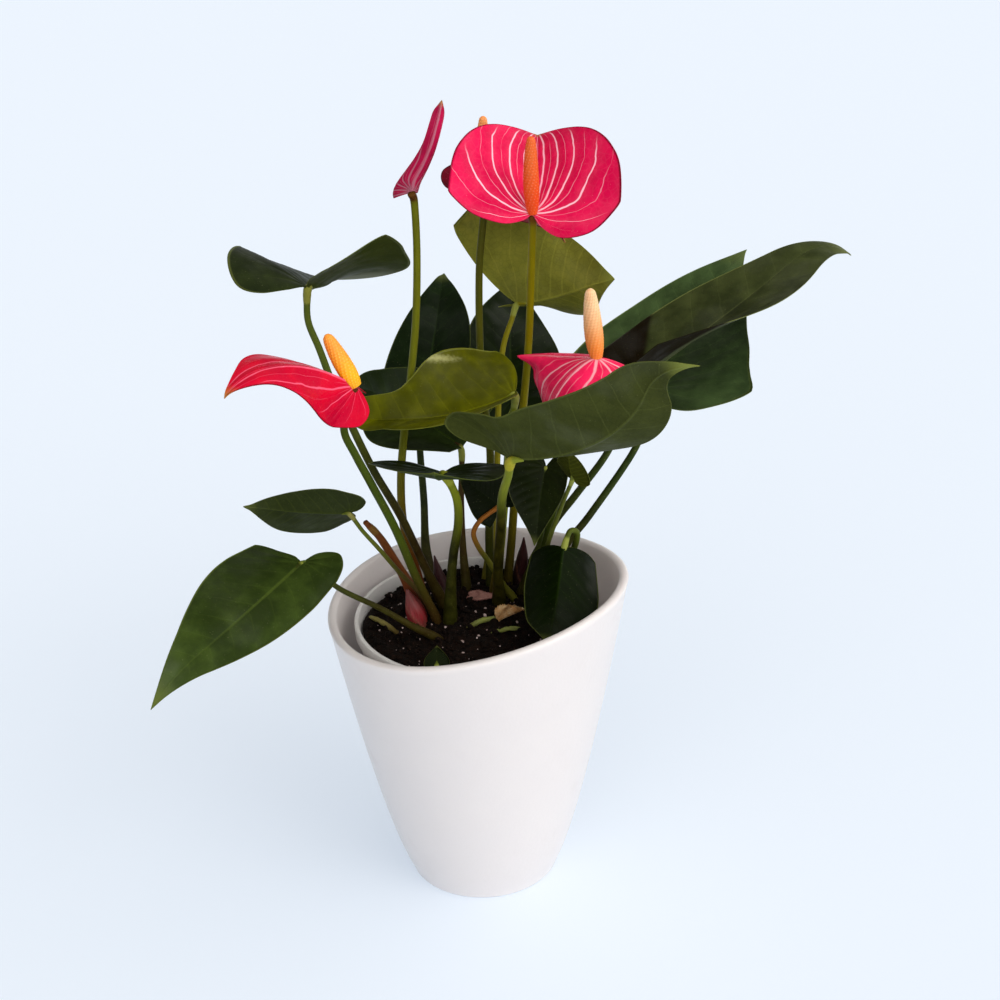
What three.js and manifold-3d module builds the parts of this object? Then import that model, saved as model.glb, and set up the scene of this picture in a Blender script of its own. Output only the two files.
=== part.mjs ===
// A potted flamingo flower: one clump of heart-shaped leaves and five red spathes in a nursery pot inside a
// tapered cover pot. Millimetres, +Z up, +X to the right, -Y towards the viewer. The origin is the middle of the
// cover pot's foot, on the ground.
import * as THREE from "three";
import Module from "manifold-3d";

const wasm = await Module();
wasm.setup();
const { Manifold, Mesh } = wasm;

// Driving dimensions
const FOOT_RADIUS = 35.3; // cover pot, at the ground
const RIM_RADIUS = 72.5; // cover pot, at the middle height of its rim
const RIM_HEIGHT = 154.7;
const POT_WALL = 4.6;
const POT_FLOOR = 7;
const RIM_SLANT = [9, -3.1, -3]; // rise towards the right, towards the back, and the wave that goes round twice
const INNER_RIM = { radius: 57.5, height: 142 };
const INNER_BASE = 33; // height at which the nursery pot's foot sits in the taper of the cover pot
const INNER_WALL = 1.4;
const SOIL_TOP = 138;
const GAP = 0.32; // clearance between neighbouring pieces
const BLADE = 0.8; // thickness of a leaf or spathe
const SUNK = 11; // depth to which stems stand in the soil
const SPATHE_GRID = [15, 3]; // steps round the margin, and from the rib out to it

const GREEN = { dark: "#24381d", mid: "#3d5226", bright: "#6d7d1c", olive: "#7d7d45", under: "#59633f" };
const STEM = { lime: "#8a9a2c", olive: "#5f6b25", dark: "#2f4020", brown: "#6b3a22" };
const RED = "#d3124a";

// Outline of half a blade from the sinus round the lobe to the tip: along the rib as a part of the length (of the
// lobe when negative), and out from the rib as a part of the full width.
const HEART = [
  [0, 0], [-0.5, 0.05], [-0.92, 0.15], [-0.95, 0.31], [-0.42, 0.455], [0.14, 0.5],
  [0.36, 0.44], [0.58, 0.31], [0.78, 0.155], [0.91, 0.055], [1, 0],
];
const BROAD_HEART = [
  [0, 0], [-0.45, 0.05], [-0.95, 0.17], [-0.9, 0.34], [-0.3, 0.46], [0.2, 0.5],
  [0.45, 0.455], [0.66, 0.34], [0.82, 0.18], [0.93, 0.06], [1, 0],
];

// Each blade: base where the stem meets it, heading and pitch of the rib there in degrees, roll about the rib,
// length, half widths left and right, lobes as parts of the length; bend, side and twist are the change of pitch,
// heading and roll from base to tip, curl the extra change of pitch in the last third, back the tilt of the lobes;
// fold is how far each half is raised at the base, foldTip at the tip, cup how much more it turns up at the margin.
// path is the line of the stem from the soil up.
const LEAVES = {
  leaf_lower_left: {
    base: [-77, -40, 195], heading: 236, pitch: -9, roll: -11, length: 106, half: [20, 28], lobe: [0.13, 0.01],
    bend: -2, back: 8, side: -6, twist: -43, curl: -25, fold: [5, -6], foldTip: [-1, 10], cup: [-11, -2],
    path: [[-17, -18, 138], [-30, -23, 150], [-44, -28, 163], [-61, -34, 177], [-70, -37, 188]],
    color: GREEN.mid, stem: STEM.olive,
  },
  leaf_small_left: {
    base: [-55, -25, 212], heading: 189, pitch: 5, roll: 51, length: 49, half: [20, 26], lobe: [0.13, 0.2],
    bend: 14, back: 4, side: 2, twist: 24, curl: -8, fold: [1, 17], foldTip: [6, -7], cup: [-4, 4],
    path: [[-22, 8, 138], [-26, 2, 153], [-35, -5, 169], [-43, -12, 185], [-50, -19, 199]],
    color: GREEN.mid, stem: STEM.olive,
  },
  leaf_upper_left: {
    base: [-68, -5, 315], heading: 72, pitch: -19, roll: -3, length: 86, half: [39, 45], lobe: [0.36, 0.4],
    bend: 2, back: -93, side: 36, twist: 14, fold: [35, 45], foldTip: [4, 2], cup: [-10, -26],
    path: [
      [-14, 11, 138], [-23, 6, 165], [-33, 2, 195], [-44, -2, 221], [-53, -4, 246], [-60, -5, 267],
      [-65, -5, 285], [-69, -5, 298], [-69, -5, 308],
    ],
    color: GREEN.dark, stem: STEM.olive,
  },
  leaf_back_left: {
    base: [-22, 80, 219], heading: 77, pitch: 43, roll: -13, length: 87, half: [24, 26], lobe: [0.18, 0.18],
    bend: -28, side: 9, twist: 3, curl: -14, fold: [9, 18], foldTip: [12, 11], cup: [-1, 3],
    path: [[-22, 42, 138], [-24, 50, 154], [-24, 59, 174], [-25, 69, 195], [-25, 75, 208]],
    color: GREEN.dark, stem: STEM.dark,
  },
  leaf_back_centre: {
    base: [22, 96, 211], heading: 92, pitch: 43, roll: 16, length: 83, half: [28, 27], lobe: [0.18, 0.18],
    bend: -32, side: -10, twist: 1, curl: -9, fold: [19, 11], foldTip: [12, 11], cup: [4, 0],
    path: [[11, 47, 138], [13, 59, 156], [17, 73, 177], [20, 88, 198]],
    color: GREEN.dark, stem: STEM.dark,
  },
  leaf_behind_flower: {
    base: [26, 96, 263], heading: -31, pitch: 17, roll: -69, length: 61, half: [25, 63], lobe: [0.3, 0.09],
    bend: 15, back: 7, side: -6, twist: -32, curl: -12, fold: [49, -6], foldTip: [20, 4], cup: [-1, -12],
    path: [[6, 41, 138], [9, 49, 156], [13, 63, 188], [15, 76, 220], [18, 86, 243], [23, 93, 256]],
    color: GREEN.olive, stem: STEM.lime,
  },
  leaf_bright_centre: {
    base: [22, -4, 259], heading: 185, pitch: -24, roll: 15, length: 92, half: [39, 38], lobe: [0.03, 0.05],
    bend: 32, back: 2, side: -41, twist: -24, curl: 4, fold: [36, 32], foldTip: [-29, 59], cup: [21, -4],
    path: [[10, 26, 138], [14, 22, 170], [18, 14, 213], [20, 5, 237], [22, -1, 251]],
    color: GREEN.bright, stem: STEM.lime,
  },
  leaf_dark_middle: {
    base: [-4, 44, 210], heading: 156, pitch: 32, roll: -24, length: 78, half: [31, 27], lobe: [-0, 0],
    bend: -36, side: -28, twist: -70, curl: -47, fold: [47, 7], foldTip: [19, 8], cup: [4, 0],
    path: [[-4, 29, 138], [-5, 33, 159], [-5, 38, 184], [-4, 42, 201]],
    color: GREEN.dark, stem: STEM.brown,
  },
  leaf_long_right: {
    base: [82, 27, 252], heading: 32, pitch: 18, roll: -3, length: 142, half: [33, 39], lobe: [0.15, 0.15],
    bend: 8, side: 4, twist: 21, curl: -69, fold: [9, 46], foldTip: [-11, 2], cup: [-3, 7],
    path: [[26, 42, 138], [39, 38, 168], [51, 36, 186], [66, 33, 209], [76, 29, 234]],
    color: GREEN.mid, stem: STEM.dark,
  },
  leaf_broad_right: {
    base: [90, 60, 231], heading: 66, pitch: 16, roll: -6, length: 99, half: [51, 48], lobe: [0.2, 0.18],
    bend: 28, back: 7, side: -28, twist: -3, curl: -24, fold: [8, 4], foldTip: [4, 6], cup: [-7, -5],
    path: [[36, 34, 138], [46, 39, 157], [58, 43, 171], [80, 52, 200], [88, 57, 218]],
    color: GREEN.mid, stem: STEM.dark,
  },
  leaf_front_right: {
    base: [20, -58, 253], heading: -31, pitch: 8, roll: -48, length: 122, half: [24, 33], lobe: [0.2, 0.42],
    bend: 73, back: 12, side: -15, twist: -11, curl: -67, fold: [29, 14], foldTip: [-8, -2], cup: [11, 0],
    path: [[12, 15, 138], [12, -4, 170], [14, -24, 202], [15, -37, 223], [18, -49, 240]],
    color: GREEN.under, stem: STEM.olive,
  },
  leaf_front_level: {
    base: [-12, -8, 222], heading: -92, pitch: 16, roll: -3, length: 60, half: [30, 34], lobe: [0.23, 0.23],
    bend: 21, back: 2, side: -1, twist: -3, curl: 1, fold: [8, 7], foldTip: [2, 4], cup: [1, 1],
    path: [[-12, -3, 138], [-11, -4, 158], [-9, -5, 177], [-6, -6, 194], [-6, -7, 207], [-9, -8, 217]],
    color: GREEN.dark, stem: STEM.lime,
  },
  leaf_hanging_middle: {
    base: [14, 2, 199], heading: 185, pitch: 40, roll: -55, length: 26, half: [17, 15], lobe: [0.3, 0.3],
    bend: 6, side: 1, twist: 2, curl: 3, fold: [7, 4], foldTip: [5, 4], cup: [1, 0],
    path: [[19, 19, 138], [14, 16, 148], [8, 13, 163], [2, 9, 174], [1, 7, 183], [4, 6, 190], [9, 4, 195]],
    color: GREEN.dark, stem: STEM.olive,
  },
  leaf_hanging_glossy: {
    base: [36, 4, 217], heading: -120, pitch: -55, roll: 1, length: 38, half: [13, 18], lobe: [0.2, 0.2],
    bend: 1, side: 1, twist: 1, curl: -3, fold: [15, 15], foldTip: [17, 16],
    path: [[22, 24, 138], [32, 16, 170], [35, 10, 191], [37, 7, 207]],
    color: GREEN.dark, stem: STEM.dark,
  },
  leaf_over_rim: {
    base: [43, -8, 180], heading: -103, pitch: -43, roll: -5, length: 54, half: [22, 21], lobe: [0.05, 0.06],
    bend: 29, back: -3, side: 2, twist: 2, curl: 6, fold: [-43, -34], foldTip: [-2, -9], cup: [-10, -10],
    path: [[36, 27, 138], [45, 15, 159], [49, 6, 174], [50, 2, 183], [47, -1, 186], [45, -4, 184]],
    color: GREEN.dark, stem: STEM.lime,
  },
  leaf_tiny_right: {
    base: [48, -12, 219], heading: -105, pitch: 56, roll: -19, length: 23, half: [9, 9], lobe: [0.15, 0.15],
    bend: 12, back: 1, side: 4, twist: 6, curl: -4, fold: [1, 16], foldTip: [9, 5], cup: [-2, 3],
    path: [[31, 24, 138], [36, 9, 173], [43, -3, 201], [47, -10, 215]],
    color: GREEN.olive, stem: STEM.olive,
  },
  leaf_sprout: {
    base: [-18, -46, 141], heading: 88, pitch: 48, roll: 0, length: 10, half: [6, 6], lobe: [0.1, 0.1],
    bend: -9, curl: -1, fold: [5, 5],
    path: [[-18, -46, 138]],
    color: GREEN.mid, stem: STEM.olive,
  },
};

// Flowers: the spathe is a blade as above; the spadix leaves its base along rise.
const FLOWERS = {
  upper_left: {
    base: [-21, 27, 342], heading: -9, pitch: 70, roll: -82, length: 49, half: [13, 13], lobe: [0.1, 0.17],
    bend: 3, back: 9, side: 2, twist: 1, curl: 1, fold: [72, 66], foldTip: [61, 61], cup: [9, 9],
    path: [
      [-25, 21, 138], [-29, 21, 161], [-33, 21, 181], [-33, 21, 205], [-30, 22, 231], [-26, 22, 256],
      [-22, 24, 286], [-20, 25, 315], [-20, 27, 336],
    ],
    rise: [0.3, 0.32, 0.9], spadix: 27, thick: 2.4, color: "#d98a3a",
  },
  top: {
    base: [33, 14, 339], heading: 83, pitch: 37, roll: 6, length: 54, half: [41, 42], lobe: [0.18, 0.28],
    bend: -26, back: 1, side: 4, twist: -1, curl: -8, fold: [22, 18], foldTip: [39, 40], cup: [-3, 6],
    path: [
      [16, 31, 138], [19, 33, 164], [22, 33, 197], [25, 33, 224], [27, 32, 240], [30, 28, 272],
      [32, 21, 310], [33, 15, 333],
    ],
    rise: [0.02, -0.1, 1], spadix: 37, thick: 3.5, color: "#f08417",
  },
  rear: {
    base: [11, 58, 331], heading: 15, pitch: -9, roll: 14, length: 50, half: [31, 28], lobe: [0.35, 0.3],
    bend: -49, back: -10, side: 3, curl: -3, fold: [14, 12], foldTip: [12, 12], cup: [1, 0],
    path: [
      [8, 33, 138], [8, 36, 163], [9, 39, 184], [10, 42, 209], [8, 45, 234], [7, 49, 261],
      [8, 53, 298], [11, 57, 324],
    ],
    rise: [0.05, 0, 1], spadix: 40, thick: 3, color: "#eb9a52",
  },
  lower_left: {
    base: [-47, -45, 284], heading: 215, pitch: 42, roll: -24, length: 74, half: [21, 25], lobe: [0.19, 0.19],
    bend: -48, back: 3, side: 17, twist: 27, curl: -28, fold: [-59, -30], foldTip: [10, 4], cup: [-9, -4],
    path: [
      [-18, -1, 138], [-27, -10, 169], [-35, -19, 200], [-44, -27, 227], [-50, -33, 245], [-54, -37, 259],
      [-51, -41, 273],
    ],
    rise: [-0.45, 0, 1], spadix: 27, thick: 4, color: "#f5b52a",
  },
  right: {
    base: [60, -5, 276], heading: -129, pitch: 9, roll: 9, length: 59, half: [32, 42], lobe: [0.16, 0.28],
    bend: -114, back: -39, side: -26, twist: 26, curl: 20, fold: [-24, -8], foldTip: [-5, -6], cup: [-4, 11],
    path: [[28, 33, 138], [37, 24, 174], [43, 17, 199], [50, 9, 229], [57, 1, 255], [60, -3, 268]],
    rise: [-0.06, 0, 1], spadix: 31, thick: 4.6, color: "#f3b183",
  },
};

// Bare stalks, sheaths and roots: tubes with a radius at each point of the line
const RODS = {
  stalk_red: {
    path: [[-28, 12, 138], [-31, 7, 154], [-37, -1, 173], [-43, -7, 189], [-49, -12, 200]],
    radii: [2.6, 2.4, 2.1, 1.8, 1.3], color: "#7a4126",
  },
  sheath_pink: {
    path: [[-27, -1, 138], [-29, -1, 147], [-32, -1, 157]], radii: [4, 3.6, 0.6], color: "#a13545",
  },
  sheath_red_left: { path: [[-14, 24, 138], [-17, 24, 150], [-19, 23, 162]], radii: [3, 2.2, 0.4], color: "#571d1f" },
  sheath_red_right: { path: [[22, 36, 138], [24, 34, 152], [25, 31, 166]], radii: [3, 2.4, 0.4], color: "#571d1f" },
};
const ROOTS = {
  root_front: { path: [[-6, -8, 137], [2, -6, 141], [9, -2, 140], [14, 2, 136]], radii: [1.2, 1.3, 1.2, 1], color: "#77803a" },
  root_left: { path: [[-36, -10, 137], [-43, -4, 140], [-49, 4, 139], [-52, 10, 136]], radii: [1.2, 1.3, 1.1, 0.9], color: "#7b7440" },
  root_middle: { path: [[2, -18, 137], [11, -14, 140], [19, -12, 140], [24, -8, 136]], radii: [1, 1.1, 1.1, 0.9], color: "#77803a" },
};
const SCRAPS = {
  leaf_dried: {
    base: [14, -2, 140.2], heading: 20, pitch: 15, roll: -20, length: 13, half: [7, 7], lobe: [0.1, 0.1], fold: [50, 40],
    cup: [80, 80], color: "#a58b4a",
  },
  bract_dried: {
    base: [-2, 20, 140.3], heading: -15, pitch: 5, roll: 10, length: 16, half: [4, 4], lobe: [0.1, 0.1], fold: [20, 20],
    color: "#8a5c50",
  },
};

const rad = THREE.MathUtils.degToRad;
const vec = (a) => new THREE.Vector3(...a);

// Points of a smooth curve through the given ones, n in all; works for points of two or three numbers.
function smooth(points, n) {
  const first = points[0].map((c, i) => 2 * c - points[1][i]);
  const last = points.at(-1).map((c, i) => 2 * c - points.at(-2)[i]);
  const p = [first, ...points, last];
  return Array.from({ length: n }, (_, m) => {
    const s = (m / (n - 1)) * (points.length - 1);
    const i = Math.min(Math.floor(s), points.length - 2);
    const t = s - i;
    return p[i].map((a, c) => {
      const [b, d, e] = [p[i + 1][c], p[i + 2][c], p[i + 3][c]];
      return 0.5 * (2 * b + (d - a) * t + (2 * a - 5 * b + 4 * d - e) * t * t + (3 * b - a - 3 * d + e) * t ** 3);
    });
  });
}

// Direction along the rib, to its left and up from the blade at part x of its length.
function frameAt(leaf, x) {
  const pos = Math.max(x, 0);
  const p = rad(leaf.pitch + (leaf.bend ?? 0) * pos + ((leaf.curl ?? 0) * Math.max(0, pos - 0.7)) / 0.3
    - (leaf.back ?? 0) * Math.max(-x, 0));
  const h = rad(leaf.heading + (leaf.side ?? 0) * pos);
  const r = rad(leaf.roll + (leaf.twist ?? 0) * pos);
  const along = new THREE.Vector3(Math.cos(p) * Math.cos(h), Math.cos(p) * Math.sin(h), Math.sin(p));
  const left = new THREE.Vector3(-Math.sin(h), Math.cos(h), 0).applyAxisAngle(along, r);
  return { along, left, up: along.clone().cross(left) };
}

// The rib as evenly spaced points from part -0.6 to 1 of the length.
function ribOf(leaf) {
  const steps = 64;
  const points = [new THREE.Vector3()];
  for (let i = 0; i < steps; i++) {
    const a = frameAt(leaf, -0.6 + (1.6 * i) / steps).along;
    const b = frameAt(leaf, -0.6 + (1.6 * (i + 1)) / steps).along;
    points.push(points[i].clone().addScaledVector(a.add(b), (0.5 * 1.6 * leaf.length) / steps));
  }
  const shift = vec(leaf.base).sub(points[24]);
  points.forEach((q) => q.add(shift));
  return (x) => {
    const s = THREE.MathUtils.clamp((x + 0.6) / 1.6, 0, 1) * steps;
    const i = Math.min(Math.floor(s), steps - 1);
    return points[i].clone().lerp(points[i + 1], s - i);
  };
}

// A point of the blade, x along the rib and y out from it as parts of length and full width.
function bladePoint(leaf, rib, x, y, k) {
  const { left, up } = frameAt(leaf, x);
  const n = k > 0 ? 0 : 1;
  const fold = rad(leaf.fold[n]);
  const f = fold + (rad((leaf.foldTip ?? leaf.fold)[n]) - fold) * THREE.MathUtils.clamp(x, 0, 1);
  const c = rad((leaf.cup ?? [0, 0])[n]) + 1e-5;
  const t = y / 0.5;
  const out = (leaf.half[n] / c) * (Math.sin(f + c * t) - Math.sin(f));
  const rise = (-leaf.half[n] / c) * (Math.cos(f + c * t) - Math.cos(f));
  return rib(x).addScaledVector(left, k * out).addScaledVector(up, rise);
}

// A closed plate over both halves of a blade, the two faces cut into the same triangles.
function bladePlate(leaf, outline, along, across, thick) {
  const rib = ribOf(leaf);
  const edge = smooth(outline, along);
  const points = [], faces = [], rims = [], known = new Map();
  const idOf = (p) => {
    const key = p.toArray().map((c) => Math.round(c * 1e3)).join();
    if (!known.has(key)) known.set(key, points.push(p) - 1);
    return known.get(key);
  };
  for (const k of [1, -1]) {
    const lobe = leaf.lobe[k > 0 ? 0 : 1];
    const rows = edge.map(([ex, ey], i) => {
      const u = i / (along - 1);
      const from = THREE.MathUtils.clamp((u - 0.28) / 0.72, 0, 1) ** 1.25;
      const to = ex < 0 ? ex * lobe : ex;
      return Array.from({ length: across + 1 }, (_, j) => {
        const v = j / across;
        return idOf(bladePoint(leaf, rib, from + (to - from) * v, Math.abs(ey) * v, k));
      });
    });
    const face = (a, b, c) => {
      if (a !== b && b !== c && c !== a) faces.push(k > 0 ? [a, b, c] : [a, c, b]);
    };
    for (let i = 0; i + 1 < rows.length; i++)
      for (let j = 0; j < across; j++) {
        const [a, b, c, d] = [rows[i][j], rows[i + 1][j], rows[i + 1][j + 1], rows[i][j + 1]];
        face(a, b, c);
        face(a, c, d);
        if (j === across - 1 && c !== d) rims.push(k > 0 ? [d, c] : [c, d]);
      }
  }
  const normals = points.map(() => new THREE.Vector3());
  for (const [a, b, c] of faces) {
    const n = points[b].clone().sub(points[a]).cross(points[c].clone().sub(points[a]));
    [a, b, c].forEach((i) => normals[i].add(n));
  }
  normals.forEach((n) => n.normalize());
  const m = points.length;
  const shell = [1, -1].flatMap((s) => points.flatMap((p, i) => p.clone().addScaledVector(normals[i], (s * thick) / 2).toArray()));
  const tris = faces.flatMap(([a, b, c]) => [a, b, c, a + m, c + m, b + m]);
  for (const [d, c] of rims) tris.push(d, c, c + m, d, c + m, d + m);
  return solid(shell, tris);
}

function solid(positions, triangles) {
  return new Manifold(new Mesh({ numProp: 3, vertProperties: new Float32Array(positions), triVerts: new Uint32Array(triangles) }));
}

// A closed tube through the points with a radius at each; bumps raises every other knot of its surface, and drop
// lowers its first end.
function tube(path, radii, rings, sides, bumps = 0, drop = 0) {
  const spine = smooth(path, rings).map(vec);
  const size = smooth(radii.map((r) => [r]), rings).map(([r]) => r);
  const positions = [], triangles = [];
  let normal = null;
  spine.forEach((p, i) => {
    const t = spine[Math.min(i + 1, rings - 1)].clone().sub(spine[Math.max(i - 1, 0)]).normalize();
    if (!normal) normal = new THREE.Vector3(Math.abs(t.x) > 0.9 ? 0 : 1, Math.abs(t.x) > 0.9 ? 1 : 0, 0);
    normal.addScaledVector(t, -normal.dot(t)).normalize();
    const side = t.clone().cross(normal);
    for (let j = 0; j < sides; j++) {
      const a = ((j + (bumps ? 0.5 * (i % 2) : 0)) / sides) * 2 * Math.PI;
      const r = size[i] * (1 + bumps * (i % 2 ? 1 : -1));
      positions.push(...p.clone().addScaledVector(normal, r * Math.cos(a)).addScaledVector(side, r * Math.sin(a)).toArray());
    }
  });
  for (let j = 0; j < sides; j++) positions[3 * j + 2] -= drop;
  for (let i = 0; i + 1 < rings; i++)
    for (let j = 0; j < sides; j++) {
      const [a, b] = [i * sides + j, i * sides + ((j + 1) % sides)];
      const [c, d] = [a + sides, b + sides];
      if (bumps && i % 2) triangles.push(a, b, d, a, d, c);
      else triangles.push(a, b, c, b, d, c);
    }
  const tail = positions.push(spine[0].x, spine[0].y, spine[0].z - drop) / 3 - 1;
  const head = positions.push(...spine[rings - 1].toArray()) / 3 - 1;
  for (let j = 0; j < sides; j++) {
    const k = (j + 1) % sides;
    triangles.push(tail, k, j, head, (rings - 1) * sides + j, (rings - 1) * sides + k);
  }
  return solid(positions, triangles);
}

// A closed solid from rings of points given by angle; the first and last ring are single points on the axis.
function ringSolid(rows, sides) {
  const positions = [], triangles = [];
  rows.forEach((row, i) => {
    const many = i > 0 && i < rows.length - 1 ? sides : 1;
    for (let j = 0; j < many; j++) positions.push(...row((j / sides) * 2 * Math.PI));
  });
  const last = positions.length / 3 - 1;
  for (let i = 1; i + 2 < rows.length; i++)
    for (let j = 0; j < sides; j++) {
      const k = (j + 1) % sides;
      const [a, b, c, d] = [1 + (i - 1) * sides + j, 1 + (i - 1) * sides + k, 1 + i * sides + j, 1 + i * sides + k];
      triangles.push(a, b, c, b, d, c);
    }
  for (let j = 0; j < sides; j++) {
    const k = (j + 1) % sides;
    triangles.push(0, 1 + k, 1 + j, last, last - sides + j, last - sides + k);
  }
  return solid(positions, triangles);
}

// Cover pot
const potRadius = (z) => FOOT_RADIUS + (RIM_RADIUS - FOOT_RADIUS) * (z / RIM_HEIGHT) ** 0.73;
const rimAt = (a) => RIM_HEIGHT + RIM_SLANT[0] * Math.cos(a) + RIM_SLANT[1] * Math.sin(a) + RIM_SLANT[2] * Math.sin(2 * a);
const ring = (r, z) => (a) => [r * Math.cos(a), r * Math.sin(a), z];
function coverPot(sides) {
  const wall = (z, inset = 0) => ring(potRadius(z) - inset, z);
  const lip = (drop, inset) => (a) => ring(potRadius(rimAt(a) - drop) - inset, rimAt(a) - drop)(a);
  return ringSolid(
    [
      ring(0, 0), ring(FOOT_RADIUS - 1.6, 0), wall(0.7, 0.9), wall(2.4, 0.2),
      ...[8, 18, 34, 60, 92, 125].map((z) => wall(z)),
      lip(1.6, 0.1), lip(0.2, 1.4), lip(0.2, POT_WALL - 1.2), lip(1.8, POT_WALL - 0.1),
      ...[125, 92, 60, INNER_SEAT, 18, POT_FLOOR + 3].map((z) => wall(z, POT_WALL)),
      ring(potRadius(POT_FLOOR) - POT_WALL - 2, POT_FLOOR), ring(0, POT_FLOOR),
    ],
    sides,
  );
}

// Nursery pot, which wedges in the cover pot at the rounded edge of its foot, and the soil in it
const INNER_SEAT = INNER_BASE + 1.5;
const INNER_FOOT = potRadius(INNER_SEAT) - POT_WALL - 0.45;
const innerRadius = (z) => INNER_FOOT + ((INNER_RIM.radius - INNER_FOOT) * (z - INNER_BASE)) / (INNER_RIM.height - INNER_BASE);
function nurseryPot(sides) {
  const { radius: R, height: H } = INNER_RIM;
  return ringSolid(
    [
      ring(0, INNER_BASE), ring(INNER_FOOT - 1.5, INNER_BASE), ring(INNER_FOOT, INNER_SEAT), ring(innerRadius(H - 7), H - 7),
      ring(R + 0.5, H - 6), ring(R + 0.7, H - 0.6), ring(R + 0.1, H), ring(R - INNER_WALL, H - 0.4),
      ring(innerRadius(INNER_BASE + 3) - INNER_WALL, INNER_BASE + 3), ring(INNER_FOOT - 3.2, INNER_BASE + 1.6), ring(0, INNER_BASE + 1.6),
    ],
    sides,
  );
}
const ripple = (r, a) =>
  0.7 * Math.sin(r * 0.31 + 3 * a) + 0.5 * Math.sin(r * 0.53 - 5 * a + 1) + 0.4 * Math.sin(r * 0.9 + 2 * a) + 1.6 * (1 - (r / 52) ** 2);
function soilBody(sides) {
  const z0 = INNER_BASE + 1.6 + GAP;
  const wall = (z) => innerRadius(z) - INNER_WALL - GAP - 0.15;
  const top = [1, 0.93, 0.8, 0.64, 0.48, 0.32, 0.16].map((t) => (a) => {
    const r = t * wall(SOIL_TOP - 3);
    return [r * Math.cos(a), r * Math.sin(a), SOIL_TOP - (t === 1 ? 2.4 : 0) + ripple(r, t === 1 ? 0 : a)];
  });
  return ringSolid([ring(0, z0), ring(INNER_FOOT - 3.9, z0), ring(wall(z0 + 2.5), z0 + 2.5), ...top, ring(0, SOIL_TOP + 1.6)], sides);
}

// Stem from below the soil to the underside of the blade, with a swollen joint at the top
function stemLine(item, topRadius, clear) {
  const { up } = frameAt(item, 0);
  const foot = item.path[0];
  const prev = vec(item.path.at(-1));
  const base = vec(item.base);
  const toward = base.clone().sub(prev).normalize();
  const under = clear + topRadius * (1 - Math.abs(toward.dot(up)));
  const end = base.addScaledVector(up, -under);
  return [[foot[0], foot[1], foot[2] - SUNK], ...item.path, end.toArray()];
}
function stemRadii(count, foot, middle, joint) {
  return Array.from({ length: count }, (_, i) => {
    const t = i / (count - 1);
    if (i >= count - 2) return joint;
    return foot + (middle - foot) * Math.min(1, t * 1.4);
  });
}

const group = new THREE.Group();
group.name = "potted_flamingo_flower";
const holes = [];

function add(name, body, color, roughness, metalness = 0) {
  const parts = body.asOriginal().simplify(0.02).decompose().sort((a, b) => b.volume() - a.volume());
  const m = parts[0].getMesh();
  const geometry = new THREE.BufferGeometry();
  geometry.setAttribute("position", new THREE.BufferAttribute(new Float32Array(m.vertProperties), 3));
  geometry.setIndex(new THREE.BufferAttribute(new Uint32Array(m.triVerts), 1));
  geometry.computeVertexNormals();
  const mesh = new THREE.Mesh(geometry, new THREE.MeshStandardMaterial({ color, roughness, metalness }));
  mesh.name = name;
  group.add(mesh);
  return mesh;
}

// A hole round a stem: the stem's own tube widened by the gap, and as much room under its end.
const hole = (line, radii, rings, sides) => holes.push(tube(line, radii.map((r) => r + GAP), rings, sides, 0, GAP));

// The plate made thicker by the gap on both faces and wider by it on all sides.
function clearanceOf(item) {
  const { along, left } = frameAt(item, 0);
  const plate = bladePlate(item, BROAD_HEART, SPATHE_GRID[0], SPATHE_GRID[1], BLADE + 2 * GAP);
  const shifts = [[0, 0], [1, 0], [-1, 0], [0, 1], [0, -1]];
  return Manifold.union(
    shifts.map(([x, y]) => plate.translate(along.clone().multiplyScalar(GAP * x).addScaledVector(left, GAP * y).toArray())),
  );
}

for (const [name, leaf] of Object.entries(LEAVES)) {
  const small = leaf.length < 50;
  const size = leaf.length > 80 ? 1 : small ? 0.62 : 0.85;
  const plate = bladePlate(leaf, HEART, small ? 11 : 15, 2, BLADE);
  const line = stemLine(leaf, 1.7 * size, 0.25);
  const { along, up } = frameAt(leaf, 0);
  line.push(vec(leaf.base).addScaledVector(along, 4.5 * size).addScaledVector(up, -0.2).toArray());
  const radii = [...stemRadii(line.length - 1, 2.2 * size, 1.5 * size, 1.9 * size), 0.7 * size];
  const rings = Math.max(6, Math.min(9, 2 * line.length - 4));
  hole(line, radii, rings, 6);
  add(name, Manifold.union([plate, tube(line, radii, rings, 6)]), leaf.color, 0.45);
}

for (const [name, flower] of Object.entries(FLOWERS)) {
  const clearance = clearanceOf(flower);
  const line = stemLine(flower, 1.9, BLADE / 2 + GAP);
  const radii = stemRadii(line.length, 2.2, 1.7, 1.9);
  hole(line, radii, 10, 6);
  const rise = vec(flower.rise).normalize();
  const { up } = frameAt(flower, 0);
  const start = vec(flower.base).addScaledVector(up, 0.2);
  const at = (t) => start.clone().addScaledVector(rise, flower.spadix * t).toArray();
  const sizes = [0.55, 0.85, 1, 0.9, 0.7, 0.3].map((r) => r * flower.thick);
  const spadix = tube([0, 0.08, 0.35, 0.7, 0.93, 1].map(at), sizes, 12, 9, 0.03);
  add("stalk_" + name, tube(line, radii, 10, 6).subtract(clearance), STEM.lime, 0.5);
  add("spathe_" + name, bladePlate(flower, BROAD_HEART, SPATHE_GRID[0], SPATHE_GRID[1], BLADE), RED, 0.3);
  const above = up.dot(vec(flower.base)) + BLADE / 2 + GAP;
  add("spadix_" + name, spadix.trimByPlane(up.toArray(), above).subtract(clearance), flower.color, 0.55);
}

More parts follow.
